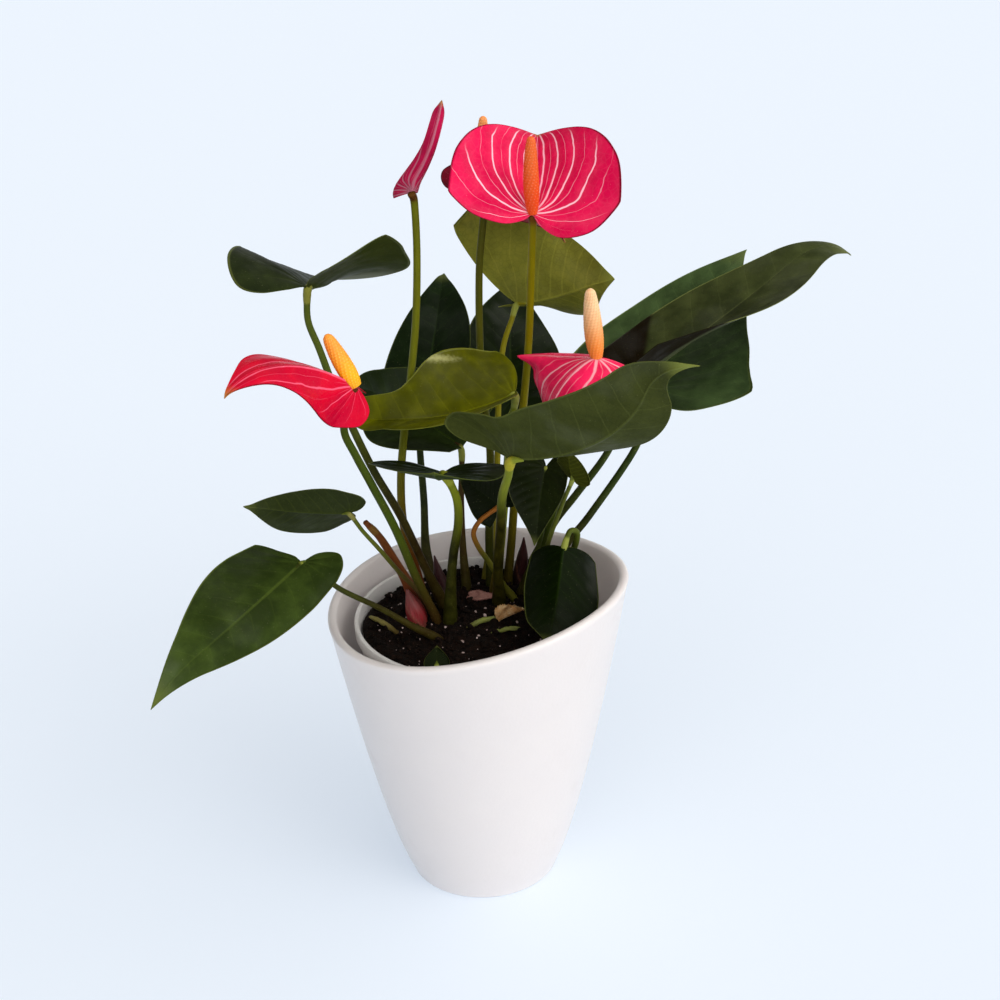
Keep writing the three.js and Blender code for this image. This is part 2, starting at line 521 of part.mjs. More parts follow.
for (const [name, rod] of Object.entries(RODS)) {
  const foot = rod.path[0];
  const line = [[foot[0], foot[1], foot[2] - 7], ...rod.path];
  const radii = [rod.radii[0], ...rod.radii];
  hole(line, radii, 8, 7);
  add(name, tube(line, radii, 8, 7), rod.color, 0.5);
}
for (const [name, root] of Object.entries(ROOTS)) {
  holes.push(tube(root.path, root.radii.map((r) => r + GAP), 8, 6));
  add(name, tube(root.path, root.radii, 8, 6), root.color, 0.6);
}
for (const [name, scrap] of Object.entries(SCRAPS)) add(name, bladePlate(scrap, HEART, 11, 2, 0.8), scrap.color, 0.8);

add("potting_soil", soilBody(32).subtract(Manifold.union(holes)), "#2a211b", 0.95);
add("nursery_pot", nurseryPot(40), "#e9e7e8", 0.45);
add("cover_pot", coverPot(48), "#f1eff0", 0.22);

export default group;
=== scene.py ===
"""A potted flamingo flower: seventeen heart-shaped leaves and five red spathes in a nursery pot inside a
white cover pot. Every piece stands where the packed frame has it. Sizes in the tables are millimetres."""

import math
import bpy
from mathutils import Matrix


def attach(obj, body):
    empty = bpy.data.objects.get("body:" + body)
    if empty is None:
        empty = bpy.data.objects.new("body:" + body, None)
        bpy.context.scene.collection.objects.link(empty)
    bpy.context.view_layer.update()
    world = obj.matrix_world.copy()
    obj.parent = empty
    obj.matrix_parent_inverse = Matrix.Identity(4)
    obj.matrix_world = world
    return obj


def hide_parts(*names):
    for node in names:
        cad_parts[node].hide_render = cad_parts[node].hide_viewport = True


bl_info = {
    "name": "Potted flamingo flower",
    "version": (1, 0, 0),
    "blender": (4, 5, 0),
    "location": "3D View > Sidebar > Flamingo flower",
    "description": "Builds a potted flamingo flower, piece by piece, and the studio it stands in",
    "category": "Object",
}

import bmesh
import bpy
import numpy as np
from bpy.props import FloatProperty, FloatVectorProperty, IntProperty, PointerProperty
from bpy.types import Operator, Panel, PropertyGroup
from mathutils import Matrix, Vector, noise

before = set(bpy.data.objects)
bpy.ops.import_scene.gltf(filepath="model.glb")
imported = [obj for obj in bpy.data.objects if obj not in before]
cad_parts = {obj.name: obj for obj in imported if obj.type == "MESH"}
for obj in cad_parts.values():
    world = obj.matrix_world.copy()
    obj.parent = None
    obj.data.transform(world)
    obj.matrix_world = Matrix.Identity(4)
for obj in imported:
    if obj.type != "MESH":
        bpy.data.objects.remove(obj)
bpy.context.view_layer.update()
MM = 0.001


# Outline of half a blade from the sinus round the lobe to the tip: along the rib as a part of the length
# (of the lobe when negative), and out from the rib as a part of the full width.
HEART = [
    (0, 0), (-0.5, 0.05), (-0.9, 0.145), (-1, 0.28), (-0.6, 0.42), (0.04, 0.49), (0.22, 0.495), (0.4, 0.44),
    (0.58, 0.325), (0.77, 0.17), (0.91, 0.06), (1, 0),
]
BROAD_HEART = [
    (0, 0), (-0.45, 0.05), (-0.95, 0.17), (-0.9, 0.34), (-0.3, 0.46), (0.2, 0.5), (0.45, 0.455),
    (0.66, 0.34), (0.82, 0.18), (0.93, 0.06), (1, 0),
]
# A narrow spathe seen from its edge, flared round the stalk
SLIM_HEART = [
    (0, 0), (-0.5, 0.2), (-0.9, 0.42), (-0.4, 0.52), (0.1, 0.47), (0.3, 0.36), (0.5, 0.26), (0.7, 0.24),
    (0.84, 0.2), (0.94, 0.07), (1, 0),
]
# A heart with a narrow beak at the tip
BEAKED_HEART = [
    (0, 0), (-0.5, 0.05), (-0.9, 0.145), (-1, 0.28), (-0.6, 0.42), (0.04, 0.49), (0.22, 0.495), (0.4, 0.45),
    (0.58, 0.355), (0.75, 0.235), (0.86, 0.095), (0.93, 0.035), (1, 0),
]
# A heart drawn in to a long point
DRAWN_HEART = [
    (0, 0), (-0.5, 0.05), (-0.9, 0.145), (-1, 0.28), (-0.6, 0.42), (0.04, 0.49), (0.22, 0.495),
    (0.38, 0.46), (0.5, 0.38), (0.58, 0.27), (0.66, 0.175), (0.78, 0.125), (0.9, 0.08), (0.96, 0.04),
    (1, 0),
]

# Each blade: base is where the stem meets it. turn is the heading and the pitch of the rib there and the
# roll about it, in degrees, and change is what they gain from base to tip. curl is more change of pitch in
# the last third, and back the tilt of the lobes. half has the half widths left and right, and lobe the
# lobes as parts of the length. fold is how far each half is raised at the base, tip how far at the tip, and
# cup how much more it turns up at the margin. nudge moves the blade round a place on it: part of the
# length, side from -1 right to 1 left, reach, and the way. path is the line of the stem from the soil up.
LEAVES = {
    "lower_left": dict(
        base=(-77, -40, 195), turn=(236, -9, -11), change=(-6, -2, -43), curl=-25, back=8, length=106,
        half=(20, 28), lobe=(0.13, 0.01), fold=(5, -6), tip=(-1, 10), cup=(-11, -2),
        path=[(-17, -18, 138), (-30, -23, 150), (-44, -28, 163), (-61, -34, 177), (-70, -37, 188)],
    ),
    "small_left": dict(
        base=(-55, -25, 212), turn=(189, 5, 51), change=(2, 14, 24), curl=-8, back=4, length=49,
        half=(20, 26), lobe=(0.13, 0.08), fold=(1, 17), tip=(6, -7), cup=(-4, 4),
        nudge=[(0.1, -1, 12, 0, -1, -2)],
        path=[(-22, 8, 138), (-26, 2, 153), (-35, -5, 169), (-43, -12, 185), (-50, -19, 199)],
    ),
    "upper_left": dict(
        base=(-68, -5, 315), turn=(72, -19, -3), change=(36, 2, 14), back=-93, length=86, half=(39, 45),
        lobe=(0.36, 0.2), fold=(35, 45), tip=(4, 2), cup=(-10, -26),
        nudge=[
            (0.1, 1, 16, 0, -1.2, -2.4), (-0.1, -0.6, 14, 0, -1.6, -3.1), (0, -1, 12, 0, 0.6, 1.2),
            (0.25, -1, 12, -2.8, 0, 0), (0.5, -1, 12, 1.9, -0.4, -0.8),
        ],
        path=[
            (-14, 11, 138), (-23, 6, 165), (-33, 2, 195), (-44, -2, 221), (-53, -4, 246), (-60, -5, 267),
            (-65, -5, 285), (-69, -5, 298), (-69, -5, 308),
        ],
    ),
    "back_left": dict(
        base=(-22, 80, 219), turn=(77, 43, -13), change=(9, -28, 3), curl=-14, length=87, half=(24, 26),
        lobe=(0.18, 0.18), fold=(9, 18), tip=(12, 11), cup=(-1, 3),
        path=[(-22, 42, 138), (-24, 50, 154), (-24, 59, 174), (-25, 69, 195), (-25, 75, 208)],
    ),
    "back_centre": dict(
        base=(22, 96, 211), turn=(92, 43, 16), change=(-10, -32, 1), curl=-9, length=83, half=(28, 27),
        lobe=(0.18, 0.18), fold=(19, 11), tip=(12, 11), cup=(4, 0),
        path=[(11, 47, 138), (13, 59, 156), (17, 73, 177), (20, 88, 198)],
    ),
    "behind_flower": dict(
        base=(26, 96, 263), turn=(-31, 17, -69), change=(-6, 15, -32), curl=-12, back=7, length=61,
        half=(25, 63), lobe=(0.3, 0.09), fold=(49, -6), tip=(20, 4), cup=(-1, -12),
        path=[(6, 41, 138), (9, 49, 156), (13, 63, 188), (15, 76, 220), (18, 86, 243), (23, 93, 256)],
    ),
    "bright_centre": dict(
        base=(22, -4, 259), turn=(185, -24, 15), change=(-41, 32, -24), curl=4, back=2, length=92,
        half=(29, 38), lobe=(0.03, 0.05), fold=(8, 32), tip=(12, 59), cup=(0, -4), outline=DRAWN_HEART,
        nudge=[(0, -1, 14, -0.5, -1, -2), (0.8, 0.6, 13, 0, -5, -10)],
        path=[(10, 26, 138), (14, 22, 170), (18, 14, 213), (20, 5, 237), (22, -1, 251)],
    ),
    "dark_middle": dict(
        base=(-4, 44, 210), turn=(156, 32, -24), change=(-28, -36, -70), curl=-47, length=78, half=(31, 27),
        lobe=(0, 0), fold=(47, 7), tip=(19, 8), cup=(4, 0),
        path=[(-4, 29, 138), (-5, 33, 159), (-5, 38, 184), (-4, 42, 201)],
    ),
    "long_right": dict(
        base=(82, 27, 252), turn=(32, 18, -3), change=(4, 8, 21), curl=-69, length=142, half=(33, 39),
        lobe=(0.15, 0.15), fold=(9, 41), tip=(-11, 2), cup=(-3, 7),
        path=[(26, 42, 138), (39, 38, 168), (51, 36, 186), (66, 33, 209), (76, 29, 234)],
    ),
    "broad_right": dict(
        base=(90, 60, 231), turn=(66, 16, -6), change=(-28, 28, -3), curl=-24, back=7, length=99,
        half=(51, 48), lobe=(0.2, 0.18), fold=(8, 4), tip=(4, 6), cup=(-7, -5),
        path=[(36, 34, 138), (46, 39, 157), (58, 43, 171), (80, 52, 200), (88, 57, 218)],
        nudge=[
            (0.25, -1, 15, -2.3, 0, 0), (0, -1, 12, 5, -0.4, -0.8), (0.55, 1, 22, 0, -1, -2),
            (0.5, -1, 15, -3.5, 0, 0),
        ],
    ),
    "front_right": dict(
        base=(20, -58, 253), turn=(-31, 8, -48), change=(-15, 73, -11), curl=-67, back=12, length=122,
        half=(24, 33), lobe=(0.04, 0.24), fold=(29, 14), tip=(-8, -2), cup=(11, 0), outline=BEAKED_HEART,
        path=[(12, 15, 138), (12, -4, 170), (14, -24, 202), (15, -37, 223), (18, -49, 240)],
        nudge=[
            (-0.2, -0.6, 12, 2.3, 1.3, 2.5), (-0.1, -0.3, 11, 1.5, 1, 2.2), (0.08, -1, 14, 0, -1.3, -2.6),
            (0.3, 1, 20, 0, 0.9, 1.7), (0.85, 0.6, 18, -6, 0, 0),
        ],
    ),
    "front_level": dict(
        base=(-12, -8, 222), turn=(-92, 16, -3), change=(-1, 21, -3), curl=1, back=2, length=60,
        half=(30, 34), lobe=(0.23, 0.23), fold=(8, 7), tip=(2, 4), cup=(1, 1),
        path=[(-12, -3, 138), (-11, -4, 158), (-9, -5, 177), (-6, -6, 194), (-6, -7, 207), (-9, -8, 217)],
    ),
    "hanging_middle": dict(
        base=(14, 2, 199), turn=(185, 40, -55), change=(1, 6, 2), curl=3, length=26, half=(13, 15),
        lobe=(0.02, 0.3), fold=(7, 4), tip=(5, 4), cup=(1, 0),
        path=[
            (19, 19, 138), (14, 16, 148), (8, 8, 165), (3, -3, 180), (1, -7, 189.5), (4, -7, 195.7),
            (9, -4, 198.5),
        ],
    ),
    "hanging_glossy": dict(
        base=(36, 4, 217), turn=(-120, -55, 1), change=(1, 1, 1), curl=-3, length=38, half=(13, 18),
        lobe=(0.2, 0.2), fold=(7, 7), tip=(9, 8), nudge=[(1, 0, 22, 4, 0, 0)],
        path=[(22, 24, 138), (32, 16, 170), (35, 10, 191), (37, 7, 207)],
    ),
    "over_rim": dict(
        base=(43, -8, 180), turn=(-103, -43, -5), change=(2, 29, 2), curl=6, back=-3, length=54,
        half=(22, 21), lobe=(0.05, 0.06), fold=(-43, -34), tip=(-2, -9), cup=(-10, -10),
        outline=BROAD_HEART, nudge=[(0.5, -1, 14, 1.5, 0, 0), (0.6, 1, 16, 2, 0, 0)],
        path=[(36, 27, 138), (45, 15, 159), (49, 6, 174), (50, 2, 183), (47, -1, 186), (45, -4, 184)],
    ),
    "tiny_right": dict(
        base=(48, -12, 219), turn=(-105, 56, -19), change=(4, 12, 6), curl=-4, back=1, length=23,
        half=(9, 9), lobe=(0.15, 0.15), fold=(1, 16), tip=(9, 5), cup=(-2, 3),
        path=[(31, 24, 138), (36, 9, 173), (43, -3, 201), (47, -10, 215)],
    ),
    "sprout": dict(
        base=(-18, -46, 141), turn=(88, 48, 0), change=(0, -9, 0), curl=-1, length=10, half=(6, 6),
        lobe=(0.1, 0.1), fold=(5, 5), path=[(-18, -46, 138)],
    ),
}

# Flowers: the spathe is a blade as above, and the spadix leaves its base along rise. fan has the angle
# between its veins, how far they bend to the tip, the vein where they start to fade and how wide they are.
FLOWERS = {
    "upper_left": dict(
        base=(-21, 29, 346), turn=(-9, 70, -82), change=(2, 3, 1), curl=1, back=9, length=45, half=(9, 9),
        lobe=(0.02, 0.14), fold=(22, 22), tip=(30, 30), cup=(84, 84), outline=SLIM_HEART,
        spadix=dict(rise=(0.338, 0.03, 0.94), length=25, thick=1.9, inset=2.6),
        nudge=[
            (0.85, 0, 16, 1.7, 0, 0), (0.45, 0, 12, 1.4, 0, 0), (0, -1, 9, -5, 0, -2),
            (0, 1, 8, -1.5, 0, 0),
        ],
        path=[
            (-25, 21, 138), (-29, 21, 161), (-33, 21, 181), (-33, 21, 205), (-30, 22, 231), (-26, 22, 256),
            (-22, 24, 286), (-20, 26, 317), (-20, 28.5, 340),
        ],
    ),
    "top": dict(
        base=(33, 14, 339), turn=(83, 37, 6), change=(4, -26, -1), curl=-8, back=1, length=54,
        half=(41, 42), lobe=(0.18, 0.28), fold=(22, 18), tip=(39, 40), cup=(-3, 6), fan=(25, 0.9, 4.2),
        spadix=dict(rise=(0.02, -0.1, 1), length=37, thick=3.5),
        path=[
            (16, 31, 138), (19, 33, 164), (22, 33, 197), (25, 33, 224), (27, 32, 240), (30, 28, 272),
            (32, 21, 310), (33, 15, 333),
        ],
    ),
    "rear": dict(
        base=(11, 58, 331), turn=(15, -9, 14), change=(3, -49, 0), curl=-3, back=-10, length=50,
        half=(27.5, 28), lobe=(0.35, 0.12), fold=(14, 12), tip=(12, 12), cup=(1, 0),
        spadix=dict(rise=(0.05, 0, 1), length=40, thick=3.5),
        path=[
            (8, 33, 138), (8, 36, 163), (9, 39, 184), (10, 42, 209), (8, 45, 234), (7, 49, 261),
            (8, 53, 298), (11, 57, 324),
        ],
    ),
    "lower_left": dict(
        base=(-47, -45, 284), turn=(215, 42, -24), change=(17, -48, 27), curl=-28, back=3, length=74,
        half=(21, 25), lobe=(0.19, 0.19), fold=(-59, -30), tip=(10, 4), cup=(-9, -4), fan=(30, 1.2, 1.6),
        spadix=dict(rise=(-0.45, 0, 1), length=27, thick=4),
        nudge=[(0.6, -1, 22, 0, 1, 2), (1, 0, 14, -2.8, 0, 0), (0.72, 0.95, 10, 0, 6.2, -3.1)],
        path=[
            (-18, -1, 138), (-27, -10, 169), (-35, -19, 200), (-44, -27, 227), (-50, -33, 245),
            (-54, -37, 259), (-51, -41, 273),
        ],
    ),
    "right": dict(
        base=(60, -5, 276), turn=(-129, 9, 9), change=(-26, -114, 26), curl=20, back=-39, length=59,
        half=(32, 42), lobe=(0.16, 0.28), fold=(-24, -8), tip=(-5, -6), cup=(-4, 11), fan=(38, 0.7, 3, 1.6),
        spadix=dict(rise=(-0.06, 0, 1), length=33.5, thick=4.2),
        nudge=[(0, -1, 6, -3.8, 0, 0), (0.25, -1, 9, 5, 0, 0), (0.5, -1, 14, 3.8, 0, 0)],
        path=[(28, 33, 138), (37, 24, 174), (43, 17, 199), (50, 9, 229), (57, 1, 255), (60, -3, 268)],
    ),
}

# Bare stalk, sheaths and roots: tubes with a radius at each point of the line, and their finish's colours
RODS = {
    "stalk_red": dict(
        path=[(-28, 12, 138), (-31, 7, 154), (-37, -1, 173), (-43, -7, 189), (-49, -12, 200)],
        radii=(2.6, 2.4, 2.1, 1.8, 1.3), look=("#7a2c2c", "#6e3c1e", "#7c5a2a"),
    ),
    "sheath_pink": dict(
        path=[(-27, -1, 138), (-29, -1, 147), (-32, -1, 157)], radii=(4, 3.6, 0.6),
        look=("#8c1c26", "#6e2420", "#4c2418"),
    ),
    "sheath_red_left": dict(
        path=[(-14, 24, 138), (-17, 24, 150), (-19, 23, 162)], radii=(3, 2.2, 0.4),
        look=("#2c060b", "#3a0e12", "#1c0807"),
    ),
    "sheath_red_right": dict(
        path=[(22, 36, 138), (24, 34, 152), (25, 31, 166)], radii=(3, 2.4, 0.4),
        look=("#2c060b", "#3a0e12", "#1c0807"),
    ),
}
ROOTS = {
    "root_front": dict(
        path=[(-6, -8, 137), (2, -6, 141), (9, -2, 140), (14, 2, 136)], radii=(1.2, 1.3, 1.2, 1),
        look=("#4c4a1e", "#7d8640", "#d9d4bb"),
    ),
    "root_left": dict(
        path=[(-36, -10, 137), (-43, -4, 140), (-49, 4, 139), (-52, 10, 136)], radii=(1.2, 1.3, 1.1, 0.9),
        look=("#4c3f1e", "#847c46", "#a08f5a"),
    ),
    "root_middle": dict(
        path=[(2, -18, 137), (11, -14, 140), (19, -12, 140), (24, -8, 136)], radii=(1, 1.1, 1.1, 0.9),
        look=("#4c4a1e", "#7d8640", "#d9d4bb"),
    ),
}

# Scraps on the soil: blades without a stem, with the colours of the body and of its margin
SCRAPS = {
    "leaf_dried": dict(
        base=(12, -4, 140.2), turn=(20, 15, -20), length=13, half=(7, 7), lobe=(0.1, 0.1), fold=(50, 40),
        cup=(150, 140), crumple=0.8, look=("#e2cb9c", "#b8844c"),
    ),
    "bract_dried": dict(
        base=(-2, 20, 140.3), turn=(-15, 5, 10), length=16, half=(4, 4), lobe=(0.1, 0.1), fold=(20, 20),
        crumple=0.25, look=("#b8857a", "#6c4038"),
    ),
}

# Finish of each leaf: its slot in the record, then the colours of the upper face, the underside, the veins
# and the stem, and how strongly the veins show
LEAF_LOOKS = {
    "lower_left": ("leaf_green", "#334318", "#434f24", "#566728", "#2c340d", 0.06),
    "small_left": ("leaf_green", "#1c230d", "#2f3719", "#3c451c", "#565f1e", 0.1),
    "upper_left": ("leaf_green", "#212a12", "#384218", "#46521d", "#48551a", 0.08),
    "back_left": ("leaf_green", "#13210c", "#233114", "#293b17", "#202c12", 0.16),
    "back_centre": ("leaf_green", "#111c06", "#222d0b", "#27360e", "#202c12", 0.16),
    "behind_flower": ("leaf_pale", "#777717", "#868531", "#9a993a", "#807812", 0.1),
    "bright_centre": ("leaf_bright", "#5f6203", "#434803", "#7f830a", "#76801c", 0.1),
    "dark_middle": ("leaf_green", "#2a3818", "#29360b", "#334612", "#3a2412", 0.15),
    "long_right": ("leaf_green", "#3a4220", "#474c34", "#626a3e", "#2a3812", 0.07),
    "broad_right": ("leaf_green", "#445933", "#525e35", "#687e45", "#22320f", 0.1),
    "front_right": ("leaf_pale", "#304013", "#3d431c", "#4c5327", "#76802a", 0.08),
    "front_level": ("leaf_green", "#192705", "#29370b", "#32430d", "#7c861c", 0.16),
    "hanging_middle": ("leaf_green", "#091002", "#101704", "#141c08", "#84501e", 0.06),
    "hanging_glossy": ("leaf_green", "#1c240c", "#22290e", "#2a3316", "#2e3a16", 0.05),
    "over_rim": ("leaf_green", "#081300", "#172705", "#1a2c04", "#444f16", 0.1),
    "tiny_right": ("leaf_pale", "#393e0a", "#373b0e", "#4d5118", "#5a6226", 0.18),
    "sprout": ("leaf_green", "#141c09", "#1f260d", "#28300f", "#4c5a18", 0.18),
}

# Stems: colours at the soil and at the joint, and the parts of the length between which the first gives way
# to the colour of the top. The dark colours at the soil are the stems' own colour with painted shade, for
# the shade low in the pot under the leaves
USUAL_STEM = ("#261c08", "#98a04a", 0.1, 0.62)
STEMS = {
    "bright_centre": ("#4a3a14", "#98a04a", 0.06, 0.5), "front_level": ("#161503", "#a0a63a", 0.5, 0.95),
    "upper_left": ("#2a1c08", "#8a8c3c", 0.25, 0.85), "small_left": ("#4a3420", "#8a8448", 0.2, 0.8),
    "front_right": ("#171503", "#b4aa34", 0.58, 0.86), "hanging_middle": ("#5a5c1c", "#8a5a28", 0.5, 0.8),
    "lower_left": ("#2c1e08", "#8f9840", 0.15, 0.95), "behind_flower": ("#5a5418", "#98a04a", 0.06, 0.5),
    "sprout": ("#4a5a24", "#98a04a", 0.06, 0.5),
}

# Stouter stems, glossier leaves, leaves with painted shade that darkens the base, the place of a painted
# highlight streak in centimetres, a painted sheen on the far part, and how pale the beak at a tip is
STOUT = {"front_right": 1.2, "front_level": 1.4, "lower_left": 0.75, "hanging_middle": 1.15}
GLOSSY = {"bright_centre": 12, "hanging_glossy": 12, "over_rim": 3}
SHADED_BASES = {"long_right": "#120a01"}
GLINTS = {"bright_centre": (3.9, -3.05)}
FAR_SHEENS = {"upper_left": "#83876f"}
BEAKS = {"front_right": 0.75, "bright_centre": 0.4, "behind_flower": 0.5}

# Finish of each flower: spathe, its veins, its margin, stalk at the soil and at the top, spadix at its foot
# and tip, and the spadix's slot in the record
FLOWER_LOOKS = {
    "upper_left": ("#f21a60", "#e58aa2", "#34060e", "#5e2612", "#666b13", "#d9802a", "#e8a35a", "orange"),
    "top": ("#e00a4e", "#fdc8d8", "#4a0a18", "#3a340c", "#7c7406", "#e04503", "#de5d1d", "orange"),
    # Painted shade: rear spathe and veins darkened to deep maroon, for its place behind the top spathe
    "rear": ("#4e0310", "#97505f", "#3c0a14", "#2c330e", "#4c4e10", "#ea8a3a", "#f0a05c", "peach"),
    "lower_left": ("#cf0229", "#ee5e7c", "#4a0a14", "#3a2a10", "#3c4c10", "#fab403", "#f99d32", "yellow"),
    "right": ("#fb1c5c", "#fbb0bc", "#4a0814", "#2b3a12", "#3c4a14", "#ef983d", "#f7d19f", "peach"),
}


# Colours and sizes that a user would change

def tint(code):
    """Linear colour of a hexadecimal one."""
    parts = [int(code[i : i + 2], 16) / 255 for i in (1, 3, 5)]
    return (*(c / 12.92 if c <= 0.04045 else ((c + 0.055) / 1.055) ** 2.4 for c in parts), 1.0)


def between(first, second, share):
    """Linear colour that lies that share of the way from the first hexadecimal colour to the second."""
    return tuple(a + (b - a) * share for a, b in zip(tint(first), tint(second)))


def distance(name, text, default):
    kind = {"unit": "LENGTH", "subtype": "DISTANCE"}
    return FloatProperty(name=name, description=text, default=default * MM, min=0, **kind)


def weight(name, text, default, most=1000.0):
    return FloatProperty(name=name, description=text, default=default, min=0, max=most, subtype="FACTOR")


def whole(name, text, default, least):
    return IntProperty(name=name, description=text, default=default, min=least, max=2000, subtype="UNSIGNED")


def degrees(name, text, default):
    return FloatProperty(name=name, description=text, default=math.radians(default), subtype="ANGLE")


def paint(name, text, code):
    kind = {"size": 3, "min": 0, "max": 1, "subtype": "COLOR"}
    return FloatVectorProperty(name=name, description=text, default=tint(code)[:3], **kind)


class FlamingoPotSizes(PropertyGroup):
    """Sizes and colours of the two pots and the soil"""

    foot_radius: distance("Foot radius", "Radius of the cover pot on the ground", 35.3)
    rim_radius: distance("Rim radius", "Radius of the cover pot at the middle height of its rim", 72.5)
    rim_height: distance("Rim height", "Middle height of the slanted rim", 154.7)
    wall: distance("Wall", "Thickness of the cover pot's wall", 4.6)
    floor: distance("Floor", "Thickness of the cover pot's floor", 7)
    rim_rise: distance("Rim rise", "How far the rim climbs to the right of its middle height", 9)
    inner_radius: distance("Nursery rim radius", "Radius of the nursery pot at its rim", 57.5)
    inner_height: distance("Nursery rim height", "Height of the nursery pot's rim above the ground", 142)
    inner_base: distance("Nursery base", "Height of the nursery pot's foot in the cover pot", 33)
    soil_top: distance("Soil level", "Height of the soil above the ground", 138)
    cover_colour: paint("Cover pot", "Colour of the cover pot", "#dfd9d8")
    inner_colour: paint("Nursery pot", "Colour of the nursery pot", "#e0dfdd")
    soil_colour: paint("Soil", "Colour of the dry parts of the soil", "#1e120c")
    perlite_colour: paint("Perlite", "Colour of the perlite grains", "#cbb8b4")


class FlamingoPlantSizes(PropertyGroup):
    """Detail of leaves and flowers"""

    blade: distance("Leaf thickness", "Thickness of a leaf", 0.6)
    spathe: distance("Spathe thickness", "Thickness of a spathe", 0.7)
    step: distance("Mesh step", "Distance between the points of a leaf's surface", 1.5)
    wave: distance("Waviness", "How far a leaf's margin waves up and down", 0.9)
    floret: distance("Floret", "Width of one floret on a spadix", 1.6)
    sinking: distance("Sinking", "Depth to which stems stand in the soil", 11)
    gloss: weight("Leaf gloss", "Weight of the waxy coat on leaves", 0.015, 1)
    crumbs: whole("Crumbs", "Number of crumbs on the soil", 900, 6)
    seed: whole("Seed", "Seed of the small irregularities", 7, 0)


class FlamingoStudio(PropertyGroup):
    """Camera, light and floor"""

    lens: FloatProperty(name="Lens", description="Focal length", default=79.2, min=10, unit="CAMERA")
    tilt: degrees("Tilt", "Angle of the camera above the floor", 27)
    roll: degrees("Roll", "Turn of the camera about its own axis", -2)
    reach: distance("Distance", "Distance from the camera to its target", 1033.7)
    target: FloatVectorProperty(
        name="Target", description="Point that the camera looks at", default=(0.014, 0, 0.203), size=3,
        subtype="TRANSLATION",
    )
    lamps: weight("Lamps", "Strength of the two soft lamps", 1)
    sky: weight("Surround", "Strength of the light from all around", 0.68)
    floor_colour: paint("Floor", "Colour of the floor", "#aeb2b6")
    floor_glow: paint("Floor glow", "Light that the floor gives off, which softens the shadows", "#a7b2c0")
    sky_colour: paint("Surround colour", "Colour of the light from all around", "#fffbf6")


# Lines and surfaces

def smooth(points, count):
    """Points of a smooth curve through the given ones."""
    p = np.asarray(points, float)
    p = np.vstack([2 * p[0] - p[1], p, 2 * p[-1] - p[-2]])
    s = np.linspace(0, len(points) - 1, count)
    i = np.minimum(s.astype(int), len(points) - 2)
    t = (s - i)[:, None]
    a, b, c, d = (p[i + n] for n in range(4))
    return 0.5 * (2 * b + (c - a) * t + (2 * a - 5 * b + 4 * c - d) * t**2 + (3 * b - a - 3 * c + d) * t**3)


def unit(v):
    return v / np.maximum(np.linalg.norm(v, axis=-1, keepdims=True), 1e-9)


def ease(value, low, high):
    """0 below low, 1 above high and a soft step between them."""
    t = np.clip((value - low) / (high - low), 0, 1)
    return t * t * (3 - 2 * t)


def hump(value):
    """Zero at every whole number and one half way between two."""
    return 1 - 2 * np.abs(np.mod(value, 1) - 0.5)


def frames(blade, x):
    """Directions along the rib, to its left and up from the blade at parts x of its length."""
    x = np.asarray(x, float)
    ahead = np.maximum(x, 0)
    heading, pitch, roll = (a + b * ahead for a, b in zip(blade["turn"], blade.get("change", (0, 0, 0))))
    pitch = pitch + blade.get("curl", 0) * np.maximum(0, ahead - 0.7) / 0.3
    pitch = np.radians(pitch - blade.get("back", 0) * np.maximum(-x, 0))
    heading, roll = np.radians(heading), np.radians(roll)[..., None]
    along = np.stack([np.cos(pitch) * np.cos(heading), np.cos(pitch) * np.sin(heading), np.sin(pitch)], -1)
    level = np.stack([-np.sin(heading), np.cos(heading), np.zeros_like(heading)], -1)
    left = level * np.cos(roll) + np.cross(along, level) * np.sin(roll)
    return along, left, np.cross(along, left)


def rib_at(blade, x):
    """Points of the rib at parts x of its length."""
    parts = np.linspace(-0.6, 1, 161)
    along = frames(blade, parts)[0]
    line = np.vstack([np.zeros(3), np.cumsum((along[1:] + along[:-1]) / 2 * 0.01 * blade["length"], 0)])
    line += np.array(blade["base"]) - line[60]
    return np.stack([np.interp(x, parts, line[:, i]) for i in range(3)], -1)


def blade_at(blade, x, y, n):
    """Points of the left half of a blade (n = 0) or of the right one (n = 1), x along the rib as a part of
    the length and y out from it as a part of the full width."""
    _, left, up = frames(blade, x)
    first = math.radians(blade["fold"][n])
    last = math.radians(blade.get("tip", blade["fold"])[n])
    fold = first + (last - first) * np.clip(x, 0, 1)
    cup = math.radians(blade.get("cup", (0, 0))[n]) + 1e-5
    t = y / 0.5
    out = blade["half"][n] / cup * (np.sin(fold + cup * t) - np.sin(fold))
    rise = -blade["half"][n] / cup * (np.cos(fold + cup * t) - np.cos(fold))
    return rib_at(blade, x) + left * ((1 - 2 * n) * out)[..., None] + up * rise[..., None]


def leaf_veins(x, y, v, reach, blade):
    """Number of the vein at each point, and the distance between veins over their width: side veins slant
    from the rib and arch to the tip, and those of the lobes spread from the base."""
    slope, spread, gap = 0.55, math.radians(27), blade["length"] / 8
    sheared = x - 0.22 * y * y / np.maximum(reach, 1)
    start = sheared - slope * y
    angle = np.arctan2(y, sheared) - math.atan2(1, slope)
    number = np.where(start >= 0, start / gap, -angle / spread)
    apart = np.where(start >= 0, gap * 0.87, np.hypot(x, y) * spread)
    return number, apart / (0.62 - 0.3 * v)


